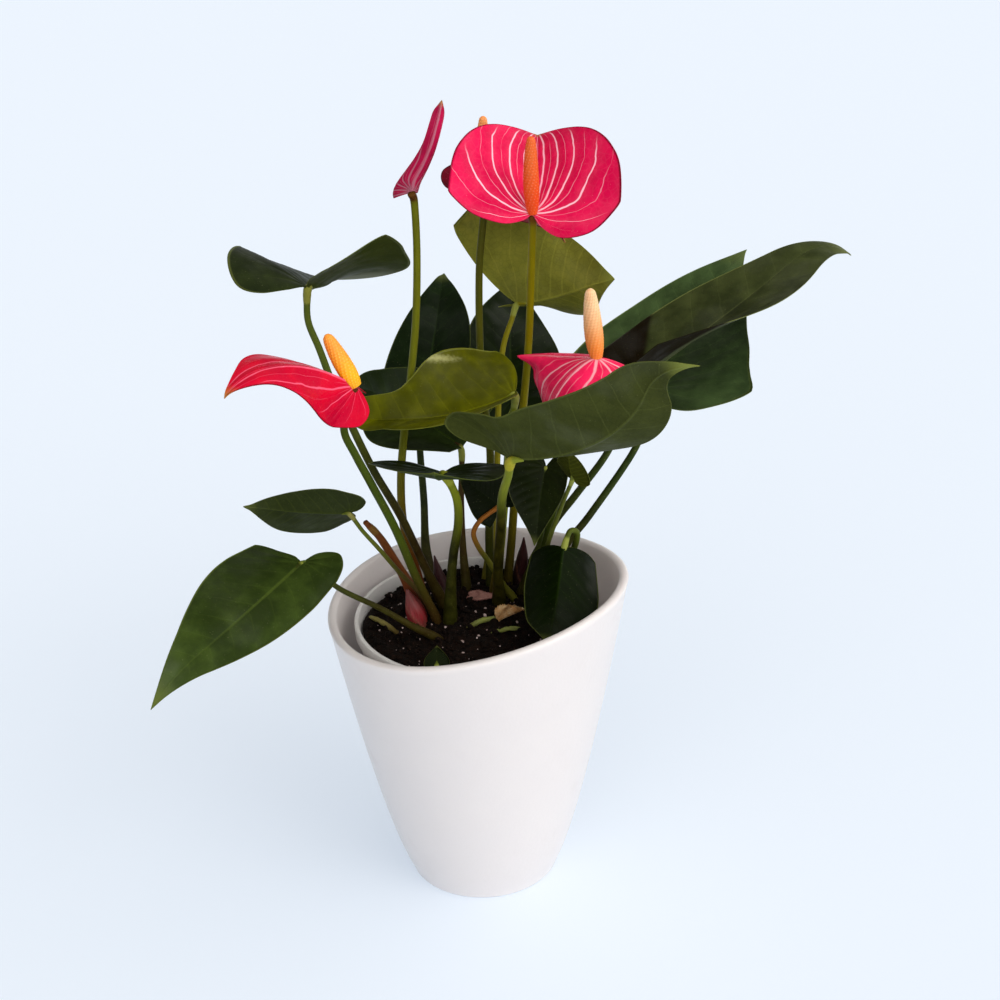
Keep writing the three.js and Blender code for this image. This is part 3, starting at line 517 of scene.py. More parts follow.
def spathe_veins(x, y, v, reach, blade):
    """The same for a spathe, whose veins fan out from the base, bend to the tip and fade on the lobes."""
    spread, bending, faded, *stout = blade.get("fan", (25, 0.55, 5))
    spread = math.radians(spread)
    rest = np.maximum(blade["length"] * 1.06 - x, 0.5)
    near, far = np.maximum(x * x + y * y, 0.2), np.maximum(rest * rest + y * y, 0.2)
    number = (np.arctan2(y, x) + bending * np.arctan2(y, rest)) / spread
    slope = np.hypot(bending * y / far - y / near, x / near + bending * rest / far)
    width = (0.6 - 0.28 * v) * (1 - 0.85 * ease(number, faded, faded + 1)) * (stout or [1])[0]
    return number, np.clip(spread / slope, 0.3, 12) / width


# Columns of a blade's corner data
RIB, LENGTH_PART, MARGIN_PART = 2, 5, 6


def blade_half(blade, edge, veins, n, u, v, wave, crumple, turns, phases):
    """Points of half a blade and their seven numbers of corner data; u runs from sinus to tip and v from rib
    to margin. The margin waves up and down, and the blade swells between its veins."""
    k, half, length = 1 - 2 * n, blade["half"][n], blade["length"]
    start = np.clip((u - 0.28) / 0.72, 0, 1) ** 1.25
    to = np.where(edge[:, :1] < 0, edge[:, :1] * blade["lobe"][n], edge[:, :1])
    x = start + (to - start) * v
    y = np.abs(edge[:, 1:]) * v
    v = v + 0 * x
    at = blade_at(blade, x, y, n)
    along, across = x * length, y * 2 * half
    for place, beside, reach, *move in blade.get("nudge", ()):
        aside = k * across - beside * blade["half"][0 if beside > 0 else 1]
        near = np.exp(-(((x - place) * length) ** 2 + aside**2) / reach**2)
        at += (near * ease(np.hypot(along, across), 1, 9))[..., None] * move
    far = np.hypot((to - start) * length, np.abs(edge[:, 1:]) * 2 * half)
    number, over = veins(along, across, v, far + 0 * x, blade)
    if n:
        number = number + 0.35 * ease(along, 2, 14)
    lift = sum(np.sin((3 + 4 * i) * turns[i] * u * 2 + phases[i + 3 * n]) / (1 + 1.3 * i) for i in range(3))
    lift = lift * wave * v**2 * ease(u, 0.02, 0.12) * (1 - ease(u, 0.9, 1))
    swelling = 0.3 * min(1, half / 25) * hump(number)
    lift += swelling * ease(v, 0.02, 0.4) * (1 - ease(v, 0.7, 1)) * ease(far, 3, 12)
    lift += crumple * v * np.sin(5 * along + 3 * phases[0]) * np.cos(4 * k * across + phases[1])
    at += frames(blade, x)[2] * lift[..., None]
    rib = across / (0.95 * (1 - 0.75 * np.clip(x, 0, 1)) * min(1, length / 60))
    return at, np.stack([number, over, rib, along / 10, k * across / 10, x, v], -1)


def blade_part(blade, outline, veins, step, thick, wave, seed, ridge=0.0, crumple=0.0):
    """A blade's closed shell with rounded margins. Corner data: pattern has the vein's number, the distance
    between veins over their width and the distance from the rib; lay the place on the blade in centimetres
    and the face, 1 above and 0 below; part the parts of the length and of the way to the margin, and the
    face again."""
    rng = np.random.default_rng(seed)
    count = int(np.clip(2.3 * blade["length"] / step, 24, 190))
    across = int(np.clip(1.15 * max(blade["half"]) / step, 7, 40))
    turns, phases = rng.uniform(0.8, 1.3, 3), rng.uniform(0, 6.3, 6)
    u, v = np.linspace(0, 1, count)[:, None], np.linspace(0, 1, across + 1) ** 1.2
    edge = smooth(outline, count)
    halves = [blade_half(blade, edge, veins, n, u, v, wave, crumple, turns, phases) for n in (0, 1)]
    points, info = (np.array([half[i] for half in halves]) for i in (0, 1))
    info = info.reshape(-1, 7)
    places = np.round(points.reshape(-1, 3), 3)
    _, first, ids = np.unique(places, axis=0, return_index=True, return_inverse=True)
    ids, spots = ids.ravel(), points.reshape(-1, 3)[first]
    cells = np.arange(len(ids)).reshape(2, count, across + 1)
    quads = [np.stack([c[:-1, :-1], c[1:, :-1], c[1:, 1:], c[:-1, 1:]], -1).reshape(-1, 4) for c in cells]
    quads = np.vstack([quads[0], quads[1][:, ::-1]])
    a, b, c, d = ids[quads].T
    normals = np.zeros_like(spots)
    turn = np.cross(spots[c] - spots[a], spots[d] - spots[b])
    for corner in (a, b, c, d):
        np.add.at(normals, corner, turn)
    normals, size = unit(normals), len(spots)
    thin, swell = np.zeros(size), np.zeros(size)
    thin[ids] = thick / 2 * (1 - 0.45 * info[:, MARGIN_PART])
    fading = 1 - 0.8 * np.clip(info[:, LENGTH_PART], 0, 1)
    swell[ids] = ridge * np.exp(-((info[:, RIB] * 0.75) ** 2)) * fading
    swell[ids] *= info[:, LENGTH_PART] > -0.02
    top = spots + normals * (thin - 0.35 * swell)[:, None]
    bottom = spots - normals * (thin + swell)[:, None]

    out = points[:, :, -1] - points[:, :, -2]
    out[:, 0], out[:, -1] = 0, frames(blade, 1.0)[0]
    rim, first = np.unique(ids[cells[:, :, -1]], return_index=True)
    out = out.reshape(-1, 3)[first]
    out = unit(out - normals[rim] * (out * normals[rim]).sum(-1, keepdims=True))
    lips = spots[rim] + out * thin[rim][:, None] * 0.8
    lip = np.zeros(size, int)
    lip[rim] = 2 * size + np.arange(len(rim))

    bands = [(ids[quads], quads, 1.0), (ids[quads][:, ::-1] + size, quads[:, ::-1], 0.0)]
    for n, margin in enumerate(cells[:, :, -1]):
        a, b = ids[margin[:-1]], ids[margin[1:]]
        marks = np.stack([margin[:-1], margin[:-1], margin[1:], margin[1:]], -1)
        order = -1 if n else 1
        for around, face in (([a, lip[a], lip[b], b], 1.0), ([lip[a], a + size, b + size, lip[b]], 0.0)):
            bands.append((np.stack(around, -1)[:, ::order], marks[:, ::order], face))
    around, marks = (np.vstack([band[i] for band in bands]) for i in (0, 1))
    used = around != np.roll(around, 1, axis=1)
    used[used.sum(1) < 3] = False
    face = np.concatenate([np.full(band[0].shape, band[2]) for band in bands])[used]
    info = info[marks[used]]
    return {
        "points": np.vstack([top, bottom, lips]),
        "faces": [corners[kept].tolist() for corners, kept in zip(around, used) if kept.any()],
        "pattern": info[:, :3],
        "lay": np.stack([info[:, 3], info[:, 4], face], -1),
        "part": np.stack([info[:, LENGTH_PART], info[:, MARGIN_PART], face], -1),
    }


def closed_tube(rings, sides):
    """Faces of a tube whose rings of points are followed by its two end points, and the ring and the place
    round it of each corner."""
    i, j = np.indices((rings - 1, sides)).reshape(2, -1)
    ring, place = np.stack([i, i, i + 1, i + 1], -1), np.stack([j, j + 1, j + 1, j], -1)
    faces = (ring * sides + place % sides).tolist()
    j = np.arange(sides)
    for row, end, turn in ((0, rings * sides, [j, j + 1, j]), (rings - 1, rings * sides + 1, [j, j, j + 1])):
        turn = np.stack(turn, -1)
        cap = row * sides + turn % sides
        cap[:, 0] = end
        faces += cap.tolist()
        ring, place = np.append(ring, np.full(turn.size, row)), np.append(place, turn)
    return faces, ring, place


def tube_part(path, radii, step, sides, profile):
    """A closed tube. Corner data: pattern has the part of its length, the swelling and the part of the way
    round; lay the place in centimetres as if straightened to a cylinder; part the part of its length again
    and the distance. profile changes the radius by distance and angle."""
    total = np.linalg.norm(np.diff(smooth(path, 200), axis=0), axis=1).sum()
    rings = int(np.clip(total / step, 8, 260))
    spine = smooth(path, rings)
    size = smooth([[r] for r in radii], rings)
    run = np.concatenate([[0], np.cumsum(np.linalg.norm(np.diff(spine, axis=0), axis=1))])
    ahead = unit(np.gradient(spine, axis=0))
    angle = np.linspace(0, 2 * math.pi, sides, endpoint=False)
    radius, swell = profile(size + np.zeros(sides), run[:, None], angle[None, :], total)
    swell = swell + np.zeros((rings, sides))
    normal = np.array([1.0, 0, 0]) if abs(ahead[0][0]) < 0.9 else np.array([0, 1.0, 0])
    rows = []
    for i in range(rings):
        normal = unit(normal - ahead[i] * (normal @ ahead[i]))
        round_it = np.cos(angle)[:, None] * normal + np.sin(angle)[:, None] * np.cross(ahead[i], normal)
        rows.append(spine[i] + radius[i][:, None] * round_it)
    faces, i, j = closed_tube(rings, sides)
    turn, wide = 2 * math.pi * j / sides, 0.1 * size.max()
    return {
        "points": np.vstack([*rows, spine[:1], spine[-1:]]),
        "faces": faces,
        "pattern": np.stack([run[i] / total, swell[i, j % sides], j / sides], -1),
        "lay": np.stack([wide * np.cos(turn), wide * np.sin(turn), run[i] / 10], -1),
        "part": np.stack([run[i] / total, run[i] * MM, np.ones(len(i))], -1),
    }


def ring_part(rows, sides):
    """A closed solid of rings: each row gives radius and height at an angle, and the first and the last lie
    on the axis."""
    angle = np.linspace(0, 2 * math.pi, sides, endpoint=False)
    rings = []
    for row in rows:
        r, z = row(angle)
        rings.append(np.stack([r * np.cos(angle), r * np.sin(angle), z + 0 * angle], -1))
    points = np.vstack([*rings[1:-1], rings[0][:1], rings[-1][:1]])
    faces = closed_tube(len(rows) - 2, sides)[0]
    x, y, z = points[np.concatenate(faces)].T
    return {
        "points": points,
        "faces": faces,
        "pattern": np.zeros((len(x), 3)),
        "lay": np.stack([x, y, z], -1) / 10,
        "part": np.stack([np.hypot(x, y), z, 0 * z], -1) * MM,
    }


def build(name, parts, materials):
    """Joins the parts, each with its own material, into the piece that stands for the node of that name."""
    faces, indices, start = [], [], 0
    for n, part in enumerate(parts):
        faces += [[i + start for i in f] for f in part["faces"]]
        indices += [part.get("material", n)] * len(part["faces"])
        start += len(part["points"])
    piece_name = name.replace("_", ".", 1)
    mesh = bpy.data.meshes.new(piece_name)
    mesh.from_pydata((np.vstack([part["points"] for part in parts]) * MM).tolist(), [], faces)
    for key in ("pattern", "lay", "part"):
        layer = mesh.attributes.new(key, "FLOAT_VECTOR", "CORNER")
        layer.data.foreach_set("vector", np.vstack([part[key] for part in parts]).astype(np.float32).ravel())
    for material in materials:
        mesh.materials.append(material)
    mesh.polygons.foreach_set("material_index", indices)
    mesh.polygons.foreach_set("use_smooth", [True] * len(faces))
    mesh.update()
    piece = bpy.data.objects.new(piece_name, mesh)
    bpy.context.scene.collection.objects.link(piece)
    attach(piece, "root")
    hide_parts(name)


# Materials

class Nodes:
    """Adds nodes to a tree. Inputs are sockets to link or values to set, in order or by name."""

    def __init__(self, tree):
        self.tree = tree

    def put(self, kind, inputs=(), **settings):
        nodes = self.tree.nodes
        node = nodes.new(kind)
        node.location = (190 * (len(nodes) % 12), -260 * (len(nodes) // 12))
        for key, value in settings.items():
            setattr(node, key, value)
        for key, value in inputs.items() if isinstance(inputs, dict) else enumerate(inputs):
            if isinstance(value, bpy.types.NodeSocket):
                self.tree.links.new(value, node.inputs[key])
            elif value is not None:
                node.inputs[key].default_value = value
        return node

    def maths(self, operation, *values):
        return self.put("ShaderNodeMath", values, operation=operation).outputs[0]

    def times(self, *values):
        return self.maths("MULTIPLY", *values)

    def step(self, value, low, high, first=0.0, last=1.0):
        """Goes softly from first to last while value goes from low to high."""
        inputs = {"Value": value, "From Min": low, "From Max": high, "To Min": first, "To Max": last}
        return self.put("ShaderNodeMapRange", inputs, interpolation_type="SMOOTHSTEP").outputs["Result"]

    def noise(self, vector, scale, detail=3.0, rough=0.5):
        inputs = {"Vector": vector, "Scale": scale, "Detail": detail, "Roughness": rough}
        return self.put("ShaderNodeTexNoise", inputs).outputs["Fac"]

    def cells(self, vector, scale, feature="F1"):
        inputs = {"Vector": vector, "Scale": scale}
        return self.put("ShaderNodeTexVoronoi", inputs, feature=feature).outputs["Distance"]

    def drawn(self, vector, scale, turn=0.0, shift=(0, 0, 0)):
        """The vector scaled, turned about its third axis and shifted, which draws a pattern out."""
        inputs = {"Vector": vector, "Location": shift, "Rotation": (0, 0, turn), "Scale": scale}
        return self.put("ShaderNodeMapping", inputs).outputs[0]

    def split(self, vector):
        return self.put("ShaderNodeSeparateXYZ", [vector]).outputs

    def mix(self, share, first, second):
        """Colour that lies that share of the way from first to second, each a socket, a value or a code."""
        first, second = (tint(c) if isinstance(c, str) else c for c in (first, second))
        return self.put("ShaderNodeMix", {0: share, 6: first, 7: second}, data_type="RGBA").outputs[2]


def vein_lines(nodes, given):
    """Veins, the finer ones between them, the rib, the net of cells and the swelling between veins."""
    pattern, lay = nodes.split(given["Pattern"]), given["Lay"]
    sway = nodes.maths("SUBTRACT", nodes.noise(lay, 0.9, 2), 0.5)
    number = nodes.maths("MULTIPLY_ADD", sway, given["Sway"], pattern[0])
    away = nodes.maths("PINGPONG", number, 0.5)
    midway = nodes.maths("PINGPONG", nodes.maths("ADD", number, 0.5), 0.5)
    fine = nodes.times(nodes.times(midway, pattern[1]), 2.4)
    forks = nodes.maths("ADD", sway, nodes.step(away, 0.2, 0.5))
    return {
        "Veins": nodes.step(nodes.times(away, pattern[1]), 0.35, 1.15, 1, 0),
        "Forks": nodes.times(nodes.step(fine, 0.4, 1.2, 1, 0), nodes.step(forks, 0.75, 1.05)),
        "Rib": nodes.step(pattern[2], 0.45, 1.25, 1, 0),
        "Net": nodes.step(nodes.cells(lay, given["Cells"], "DISTANCE_TO_EDGE"), 0.01, 0.09, 1, 0),
        "Swelling": nodes.step(away, 0, 0.4),
    }


def living_tone(nodes, given):
    """Broad patches of tone, a fine grain and small pale specks."""
    lay, grain = given["Lay"], given["Grain scale"]
    return {
        "Patches": nodes.step(nodes.noise(lay, given["Patch scale"], 4, 0.6), 0.34, 0.66),
        "Grain": nodes.noise(lay, grain, 3, 0.6),
        "Specks": nodes.step(nodes.noise(lay, grain, 1, 0.4), 0.71, 0.8),
    }


def moulded_face(nodes, given):
    """Faint ripple of moulded plastic, dust in patches, and hairline scuffs."""
    lay, scale = given["Lay"], given["Scale"]
    return {
        "Ripple": nodes.noise(lay, scale, 2),
        "Dust": nodes.step(nodes.noise(lay, 0.55, 6, 0.62), 0.5, 0.75),
        "Scuffs": nodes.step(nodes.noise(nodes.drawn(lay, (1, 1, 7)), scale, 5, 0.7), 0.66, 0.8),
    }


# The shared effects: what makes them, the vectors and the numbers that they take, and what they give
SHARED = {
    "Blade veins": (
        vein_lines, ("Pattern", "Lay"), ("Sway", "Cells"), ("Veins", "Forks", "Rib", "Net", "Swelling"),
    ),
    "Living tone": (living_tone, ("Lay",), ("Patch scale", "Grain scale"), ("Patches", "Grain", "Specks")),
    "Moulded face": (moulded_face, ("Lay",), ("Scale",), ("Ripple", "Dust", "Scuffs")),
}


def effect(name):
    """A shader node group with named sockets, made at its first use."""
    if name in bpy.data.node_groups:
        return bpy.data.node_groups[name]
    make, vectors, numbers, outputs = SHARED[name]
    tree = bpy.data.node_groups.new(name, "ShaderNodeTree")
    sockets = [(key, "INPUT", "NodeSocketVector") for key in vectors]
    sockets += [(key, "INPUT", "NodeSocketFloat") for key in numbers]
    sockets += [(key, "OUTPUT", "NodeSocketFloat") for key in outputs]
    for key, way, kind in sockets:
        tree.interface.new_socket(name=key, in_out=way, socket_type=kind)
    nodes = Nodes(tree)
    made = make(nodes, nodes.put("NodeGroupInput").outputs)
    nodes.put("NodeGroupOutput", [made[key] for key in outputs])
    return tree


class Finish(Nodes):
    """A material in the making, with its Principled shader and its colour so far."""

    def __init__(self, name, **values):
        self.material = bpy.data.materials.new(name)
        self.material.use_nodes = True
        super().__init__(self.material.node_tree)
        self.tree.nodes.clear()
        inputs = {key.replace("_", " ").title().replace("Ior", "IOR"): value for key, value in values.items()}
        self.shader = self.put("ShaderNodeBsdfPrincipled", inputs)
        self.put("ShaderNodeOutputMaterial", [self.shader.outputs[0]])

    def corners(self, name):
        """The vector kept at a mesh's corners under that name."""
        node = self.put("ShaderNodeAttribute", attribute_name=name, attribute_type="GEOMETRY")
        return node.outputs["Vector"]

    def numbers(self, name):
        return self.split(self.corners(name))

    def shared(self, name, *inputs):
        return self.put("ShaderNodeGroup", inputs, node_tree=effect(name)).outputs

    def tone(self, lay, patches, grain):
        return self.shared("Living tone", lay, patches, grain)

    def cover(self, share, colour):
        """Lays another colour over the one so far."""
        self.colour = self.mix(share, self.colour, colour)

    def done(self, rough, height=None, depth=0.0, strength=0.0):
        """Links colour, roughness and relief, whose depth is in millimetres, and gives the material."""
        links = {"Base Color": self.colour, "Roughness": rough}
        if height is not None:
            bump = {"Strength": strength, "Distance": depth * MM, "Height": height}
            links["Normal"] = self.put("ShaderNodeBump", bump).outputs[0]
        for key, socket in links.items():
            self.tree.links.new(socket, self.shader.inputs[key])
        return self.material


def leaf_finish(name, upper, under, vein, show, gloss, stain_and_shade, glint, far, beak):
    """A leathery leaf: waxy above, dull and paler below."""
    m = Finish(name, coat_weight=gloss, coat_roughness=0.22)
    lay, part = m.corners("lay"), m.numbers("part")
    veins = m.shared("Blade veins", m.corners("pattern"), lay, 0.22, 3.2)
    tone = m.tone(lay, 0.55, 16.0)
    rises = m.maths("MAXIMUM", veins["Rib"], m.times(veins["Veins"], 0.6))
    m.colour = m.mix(tone["Patches"], under, between(under, "#141a0a", 0.3))
    m.cover(m.times(rises, 0.6), vein)
    m.cover(m.times(veins["Net"], 0.14), "#161c0c")
    below, dark = m.colour, between(upper, "#0a1006", 0.5)
    m.colour = m.mix(tone["Patches"], between(upper, vein, 0.1), dark)
    m.cover(m.times(veins["Swelling"], 0.3), dark)
    m.cover(m.times(veins["Veins"], m.step(part[1], 0.35, 0.95, show, 0)), vein)
    m.cover(m.times(veins["Rib"], m.step(part[0], 0.1, 0.75, min(1, 0.3 + 1.5 * show), 0.1)), vein)
    m.colour = m.mix(part[2], below, m.colour)
    m.cover(m.step(part[1], 0.965, 0.995, 0, 0.55), between(vein, "#8a9348", 0.4))
    m.cover(m.step(part[0], 0.84, 0.97, 0, beak), "#8d9648")
    # Painted shade: the base of the blade, out towards the margin, darkened to near black-brown
    if stain_and_shade:
        inward = m.maths("MULTIPLY_ADD", part[1], -0.24, part[0])
        m.cover(m.step(inward, -0.015, 0.02, 0.96, 0), stain_and_shade)
    # Painted highlight: a pale streak, broken by noise, at the given place on the blade
    if glint:
        streak = m.drawn(m.drawn(lay, (1, 1, 1), shift=(-glint[0], -glint[1], 0)), (0.55, 3.2, 0), 0.35)
        away = m.put("ShaderNodeVectorMath", [streak], operation="LENGTH").outputs["Value"]
        wear_and_highlight = m.maths("ADD", away, m.times(m.noise(lay, 6), 0.9))
        m.cover(m.step(wear_and_highlight, 0.35, 1.5, 0.6, 0), "#cfd08c")
    # Painted sheen: the far part of the blade lightened to the given grey-green
    if far:
        m.cover(m.step(part[0], 0.45, 0.62, 0, 0.6), far)
    m.cover(m.times(tone["Specks"], 0.18), "#b9bb8c")
    waxy = m.step(m.noise(lay, 0.35), 0.5, 0.72, 0.02, 0.14)
    m.tree.links.new(waxy, m.shader.inputs["Specular IOR Level"])
    shine = m.maths("ADD", m.step(tone["Patches"], 0, 1, 0.36, 0.47), m.step(part[2], 0, 1, 0.16, 0))
    relief = m.maths("MULTIPLY_ADD", veins["Swelling"], 0.5, m.times(tone["Grain"], 0.25))
    relief = m.maths("MULTIPLY_ADD", veins["Net"], -0.1, relief)
    relief = m.maths("MULTIPLY_ADD", veins["Veins"], -0.25, relief)
    return m.done(shine, relief, 0.35, 0.55)


def spathe_finish(name, red, vein, margin):
    """A lacquered spathe: pale veins from a white trunk at the base, a dark margin and a browned tip."""
    m = Finish(name, coat_weight=0.02, coat_roughness=0.25, specular_ior_level=0.04)
    lay, part = m.corners("lay"), m.numbers("part")
    veins = m.shared("Blade veins", m.corners("pattern"), lay, 0.3, 3.0)
    tone = m.tone(lay, 0.7, 15.0)
    m.colour = m.mix(tone["Patches"], between(red, vein, 0.01), between(red, "#a00030", 0.4))
    m.cover(m.times(veins["Net"], 0.015), vein)
    m.cover(m.times(m.maths("SUBTRACT", 1.0, veins["Swelling"]), 0.02), vein)
    m.cover(m.times(veins["Forks"], 0.35), vein)
    m.cover(m.times(veins["Veins"], m.step(part[1], 0.75, 0.97, 0.9, 0)), vein)
    m.cover(m.times(veins["Rib"], 0.6), vein)
    m.cover(m.step(part[1], 0.975, 0.995, 0, 0.5), margin)
    m.colour = m.mix(part[2], m.mix(0.42, m.colour, margin), m.colour)
    m.cover(m.step(part[0], 0.9, 1.0, 0, 0.85), "#a8792c")
    m.cover(m.times(tone["Specks"], 0.12), "#ffd9d9")
    relief = m.maths("MULTIPLY_ADD", veins["Swelling"], 0.6, m.times(tone["Grain"], 0.12))
    relief = m.maths("MULTIPLY_ADD", veins["Forks"], -0.2, relief)
    return m.done(m.step(tone["Patches"], 0, 1, 0.26, 0.38), relief, 0.5, 0.6)


def spadix_finish(name, foot, tip):
    """Close-set florets from foot to tip, with a painted highlight on their tops and painted shade in the
    seams.
    """
    m = Finish(name, subsurface_weight=0.12, subsurface_scale=0.002, specular_ior_level=0.3)
    pattern = m.numbers("pattern")
    tone = m.tone(m.corners("lay"), 1.6, 30.0)
    m.colour = m.mix(m.step(pattern[0], 0.12, 0.85), foot, tip)
    # Painted shade: the seams between the florets turned a deeper orange
    m.colour = m.mix(m.step(pattern[1], 0.0, 0.55), m.mix(0.3, m.colour, "#c05a10"), m.colour)
    # Painted highlight: pale caps on the tops of the florets
    m.cover(m.step(pattern[1], 0.8, 1.0, 0, 0.14), "#fff0cf")
    m.cover(m.times(tone["Patches"], 0.15), "#e8762a")
    return m.done(m.step(tone["Grain"], 0.3, 0.7, 0.42, 0.58), tone["Grain"], 0.12, 0.5)


def stalk_finish(name, foot, top, joint, low=0.06, high=0.5):
    """A fleshy stalk with long faint streaks; its joint under the blade is paler and finely ringed."""
    m = Finish(name, coat_weight=0.02, coat_roughness=0.3, specular_ior_level=0.05)
    pattern, lay = m.numbers("pattern"), m.corners("lay")
    tone = m.tone(lay, 1.3, 24.0)
    streak = m.step(m.noise(m.drawn(lay, (9, 9, 0.8)), 1.4, 4), 0.35, 0.7, 0, 0.35)
    wave = {"Vector": lay, "Scale": 14.0, "Distortion": 1.5}
    rings = m.put("ShaderNodeTexWave", wave, bands_direction="Z").outputs["Fac"]
    # Darker towards the foot; for the leaf stems this is partly painted shade low under the leaves
    m.colour = m.mix(m.step(pattern[0], low, high), foot, top)
    m.cover(streak, m.mix(0.5, m.colour, "#1c2408"))
    m.cover(m.times(tone["Patches"], 0.06), joint)
    m.cover(m.step(pattern[1], 0.15, 0.8, 0, 0.85), m.mix(m.times(rings, 0.18), joint, "#4c5312"))
    m.cover(m.times(tone["Specks"], 0.4), "#b9b56a")
    relief = m.maths("MULTIPLY_ADD", streak, 0.8, m.times(m.times(rings, pattern[1]), 0.5))
    return m.done(m.step(tone["Patches"], 0, 1, 0.38, 0.52), relief, 0.25, 0.5)


def scale_finish(name, body, tip, foot):
    """A fleshy leaf scale: long ribs, a stained foot and a thin browned edge."""
    m = Finish(name, coat_weight=0.15, coat_roughness=0.3)
    pattern, lay = m.numbers("pattern"), m.corners("lay")
    ribs = m.noise(m.drawn(lay, (12, 12, 1.2)), 1.3)
    m.colour = m.mix(m.step(pattern[0], 0.45, 1.0), body, tip)
    m.cover(m.step(pattern[0], 0.5, 0.2), foot)
    m.cover(m.step(ribs, 0.35, 0.65, 0, 0.4), foot)
    m.cover(m.step(pattern[1], 0.9, 1.0, 0, 0.5), "#8a5a44")
    m.cover(m.times(m.tone(lay, 1.8, 26.0)["Specks"], 0.3), "#c98a80")
    return m.done(m.step(ribs, 0.3, 0.7, 0.4, 0.6), ribs, 0.4, 0.6)


def dry_finish(name, body, edge):
    """A papery scrap: fibres, stains and a worn margin."""
    m = Finish(name)
    lay, part = m.corners("lay"), m.numbers("part")
    fibres = m.noise(m.drawn(lay, (2, 9, 2)), 3.2, 5, 0.65)
    m.colour = m.mix(m.tone(lay, 1.6, 22.0)["Patches"], body, edge)
    m.cover(m.step(fibres, 0.4, 0.7, 0, 0.55), m.mix(0.6, m.colour, "#2a1a10"))
    m.cover(m.step(part[1], 0.8, 1.0, 0, 0.6), edge)
    return m.done(m.step(fibres, 0.3, 0.7, 0.65, 0.87), fibres, 0.5, 0.8)


def earth_finish(name, dry):
    """Damp peat: almost black, with browner dry crumbs and short fibres."""
    m = Finish(name, specular_ior_level=0.1)
    lay = m.corners("lay")
    clods = m.noise(lay, 3.4, 8, 0.72)
    fibre = m.step(m.noise(m.drawn(lay, (3, 22, 6), 0.8), 1.6), 0.68, 0.75)
    m.colour = m.mix(m.step(clods, 0.42, 0.68), m.mix(0.85, dry, "#040302"), dry)
    m.cover(m.times(fibre, 0.4), "#7a5a44")
    m.cover(m.times(m.tone(lay, 1.1, 26.0)["Specks"], 0.5), "#8c7268")
    return m.done(m.step(clods, 0.35, 0.65, 0.72, 0.97), clods, 1.4, 0.9)


def grain_finish(name, pale):
    """Perlite: chalky, pitted, stained by the peat."""
    m = Finish(name)
    lay = m.corners("lay")
    pits, tone = m.cells(lay, 16.0), m.tone(lay, 4.0, 30.0)
    m.colour = m.mix(m.times(tone["Patches"], 0.75), pale, "#6a4a40")
    m.cover(m.step(pits, 0.0, 0.35, 0.5, 0), "#5a4038")
    return m.done(m.step(tone["Grain"], 0.3, 0.7, 0.7, 0.95), pits, 0.4, 0.8)


def plastic_finish(name, body, rough, coat, stain_and_shade):
    """Moulded white plastic with a faint ripple, dust and hairline scuffs; soil splashes stain it."""
    m = Finish(
        name, coat_weight=coat, coat_roughness=0.18, subsurface_weight=0.4, subsurface_scale=0.012,
        subsurface_radius=(1, 0.96, 0.92),
    )
    lay = m.corners("lay")
    face, tone = m.shared("Moulded face", lay, 5.0), m.tone(lay, 0.35, 9.0)
    m.colour = m.mix(m.times(tone["Patches"], 0.06), body, "#cfcbd2")
    m.cover(m.times(face["Dust"], 0.04), "#bdb6b2")
    m.cover(m.times(tone["Specks"], stain_and_shade), "#6d625c")
    wear_and_highlight = m.maths("ADD", m.step(face["Dust"], 0, 1, rough, rough + 0.14), m.times(face["Scuffs"], 0.15))
    return m.done(wear_and_highlight, m.maths("MULTIPLY_ADD", face["Scuffs"], -0.15, face["Ripple"]), 0.22, 0.35)


# Shapes of stems, scales and roots

def stem_line(blade, top_radius, clear):
    """The stem's line from below the soil to the underside of the blade, and the ways along and up there."""
    along, _, up = frames(blade, 0.0)
    base = np.array(blade["base"], float)
    toward = unit(base - np.array(blade["path"][-1], float))
    end = base - up * (clear + top_radius * (1 - abs(toward @ up)))
    x, y, z = blade["path"][0]
    sinking = bpy.context.scene.flamingo_plant.sinking / MM
    return [[x, y, z - sinking], *blade["path"], end.tolist()], along, up


def petiole_shape(size):
    """A leaf stem: a flared foot, a slight channel on one side and a swollen joint under the blade."""

    def profile(radius, run, angle, total):
        joint = np.exp(-(((total - run - 9 * size) / (4.6 * size)) ** 4))
        foot = 1 + 0.5 * (1 - ease(run, 9, 42))
        channel = 1 - 0.1 * np.exp(-((np.mod(angle, 2 * math.pi) - 1.6) ** 2) / 0.3) * (1 - joint)
        knots = 1 + 0.02 * np.sin(2.2 * run / size) * joint
        return radius * foot * channel * knots * (1 + 0.16 * joint), joint

    return profile


def stalk_shape(radius, run, angle, total):
    """A flower stalk: a little thicker at the soil, with a narrow collar under the spathe."""
    collar = np.exp(-(((total - run) / 5) ** 2))
    ribs = 1 + 0.02 * np.sin(7 * angle + 0.02 * run)
    return radius * (1 + 0.22 * (1 - ease(run, 9, 26))) * ribs * (1 + 0.12 * collar), collar * 0.9


def root_shape(radius, run, angle, total):
    """A root that thickens and thins along its way, with a rounded pale tip."""
    knobs = 1 + 0.07 * np.sin(1.1 * run + 1) + 0.04 * np.sin(2.7 * run) + 0.03 * np.sin(3 * angle + run)
    return radius * knobs, ease(run / total, 0.86, 1.0)


def sheath_shape(radius, run, angle, total):
    """A leaf scale wrapped round the foot of a stem: ribbed, with one overlapping edge."""
    edge = np.mod(angle + 0.12 * run, 2 * math.pi) / (2 * math.pi)
    swell = 1 + 0.14 * np.sin(run / total * math.pi) + 0.035 * np.sin(9 * angle)
    return radius * swell * (1 + 0.13 * edge), edge


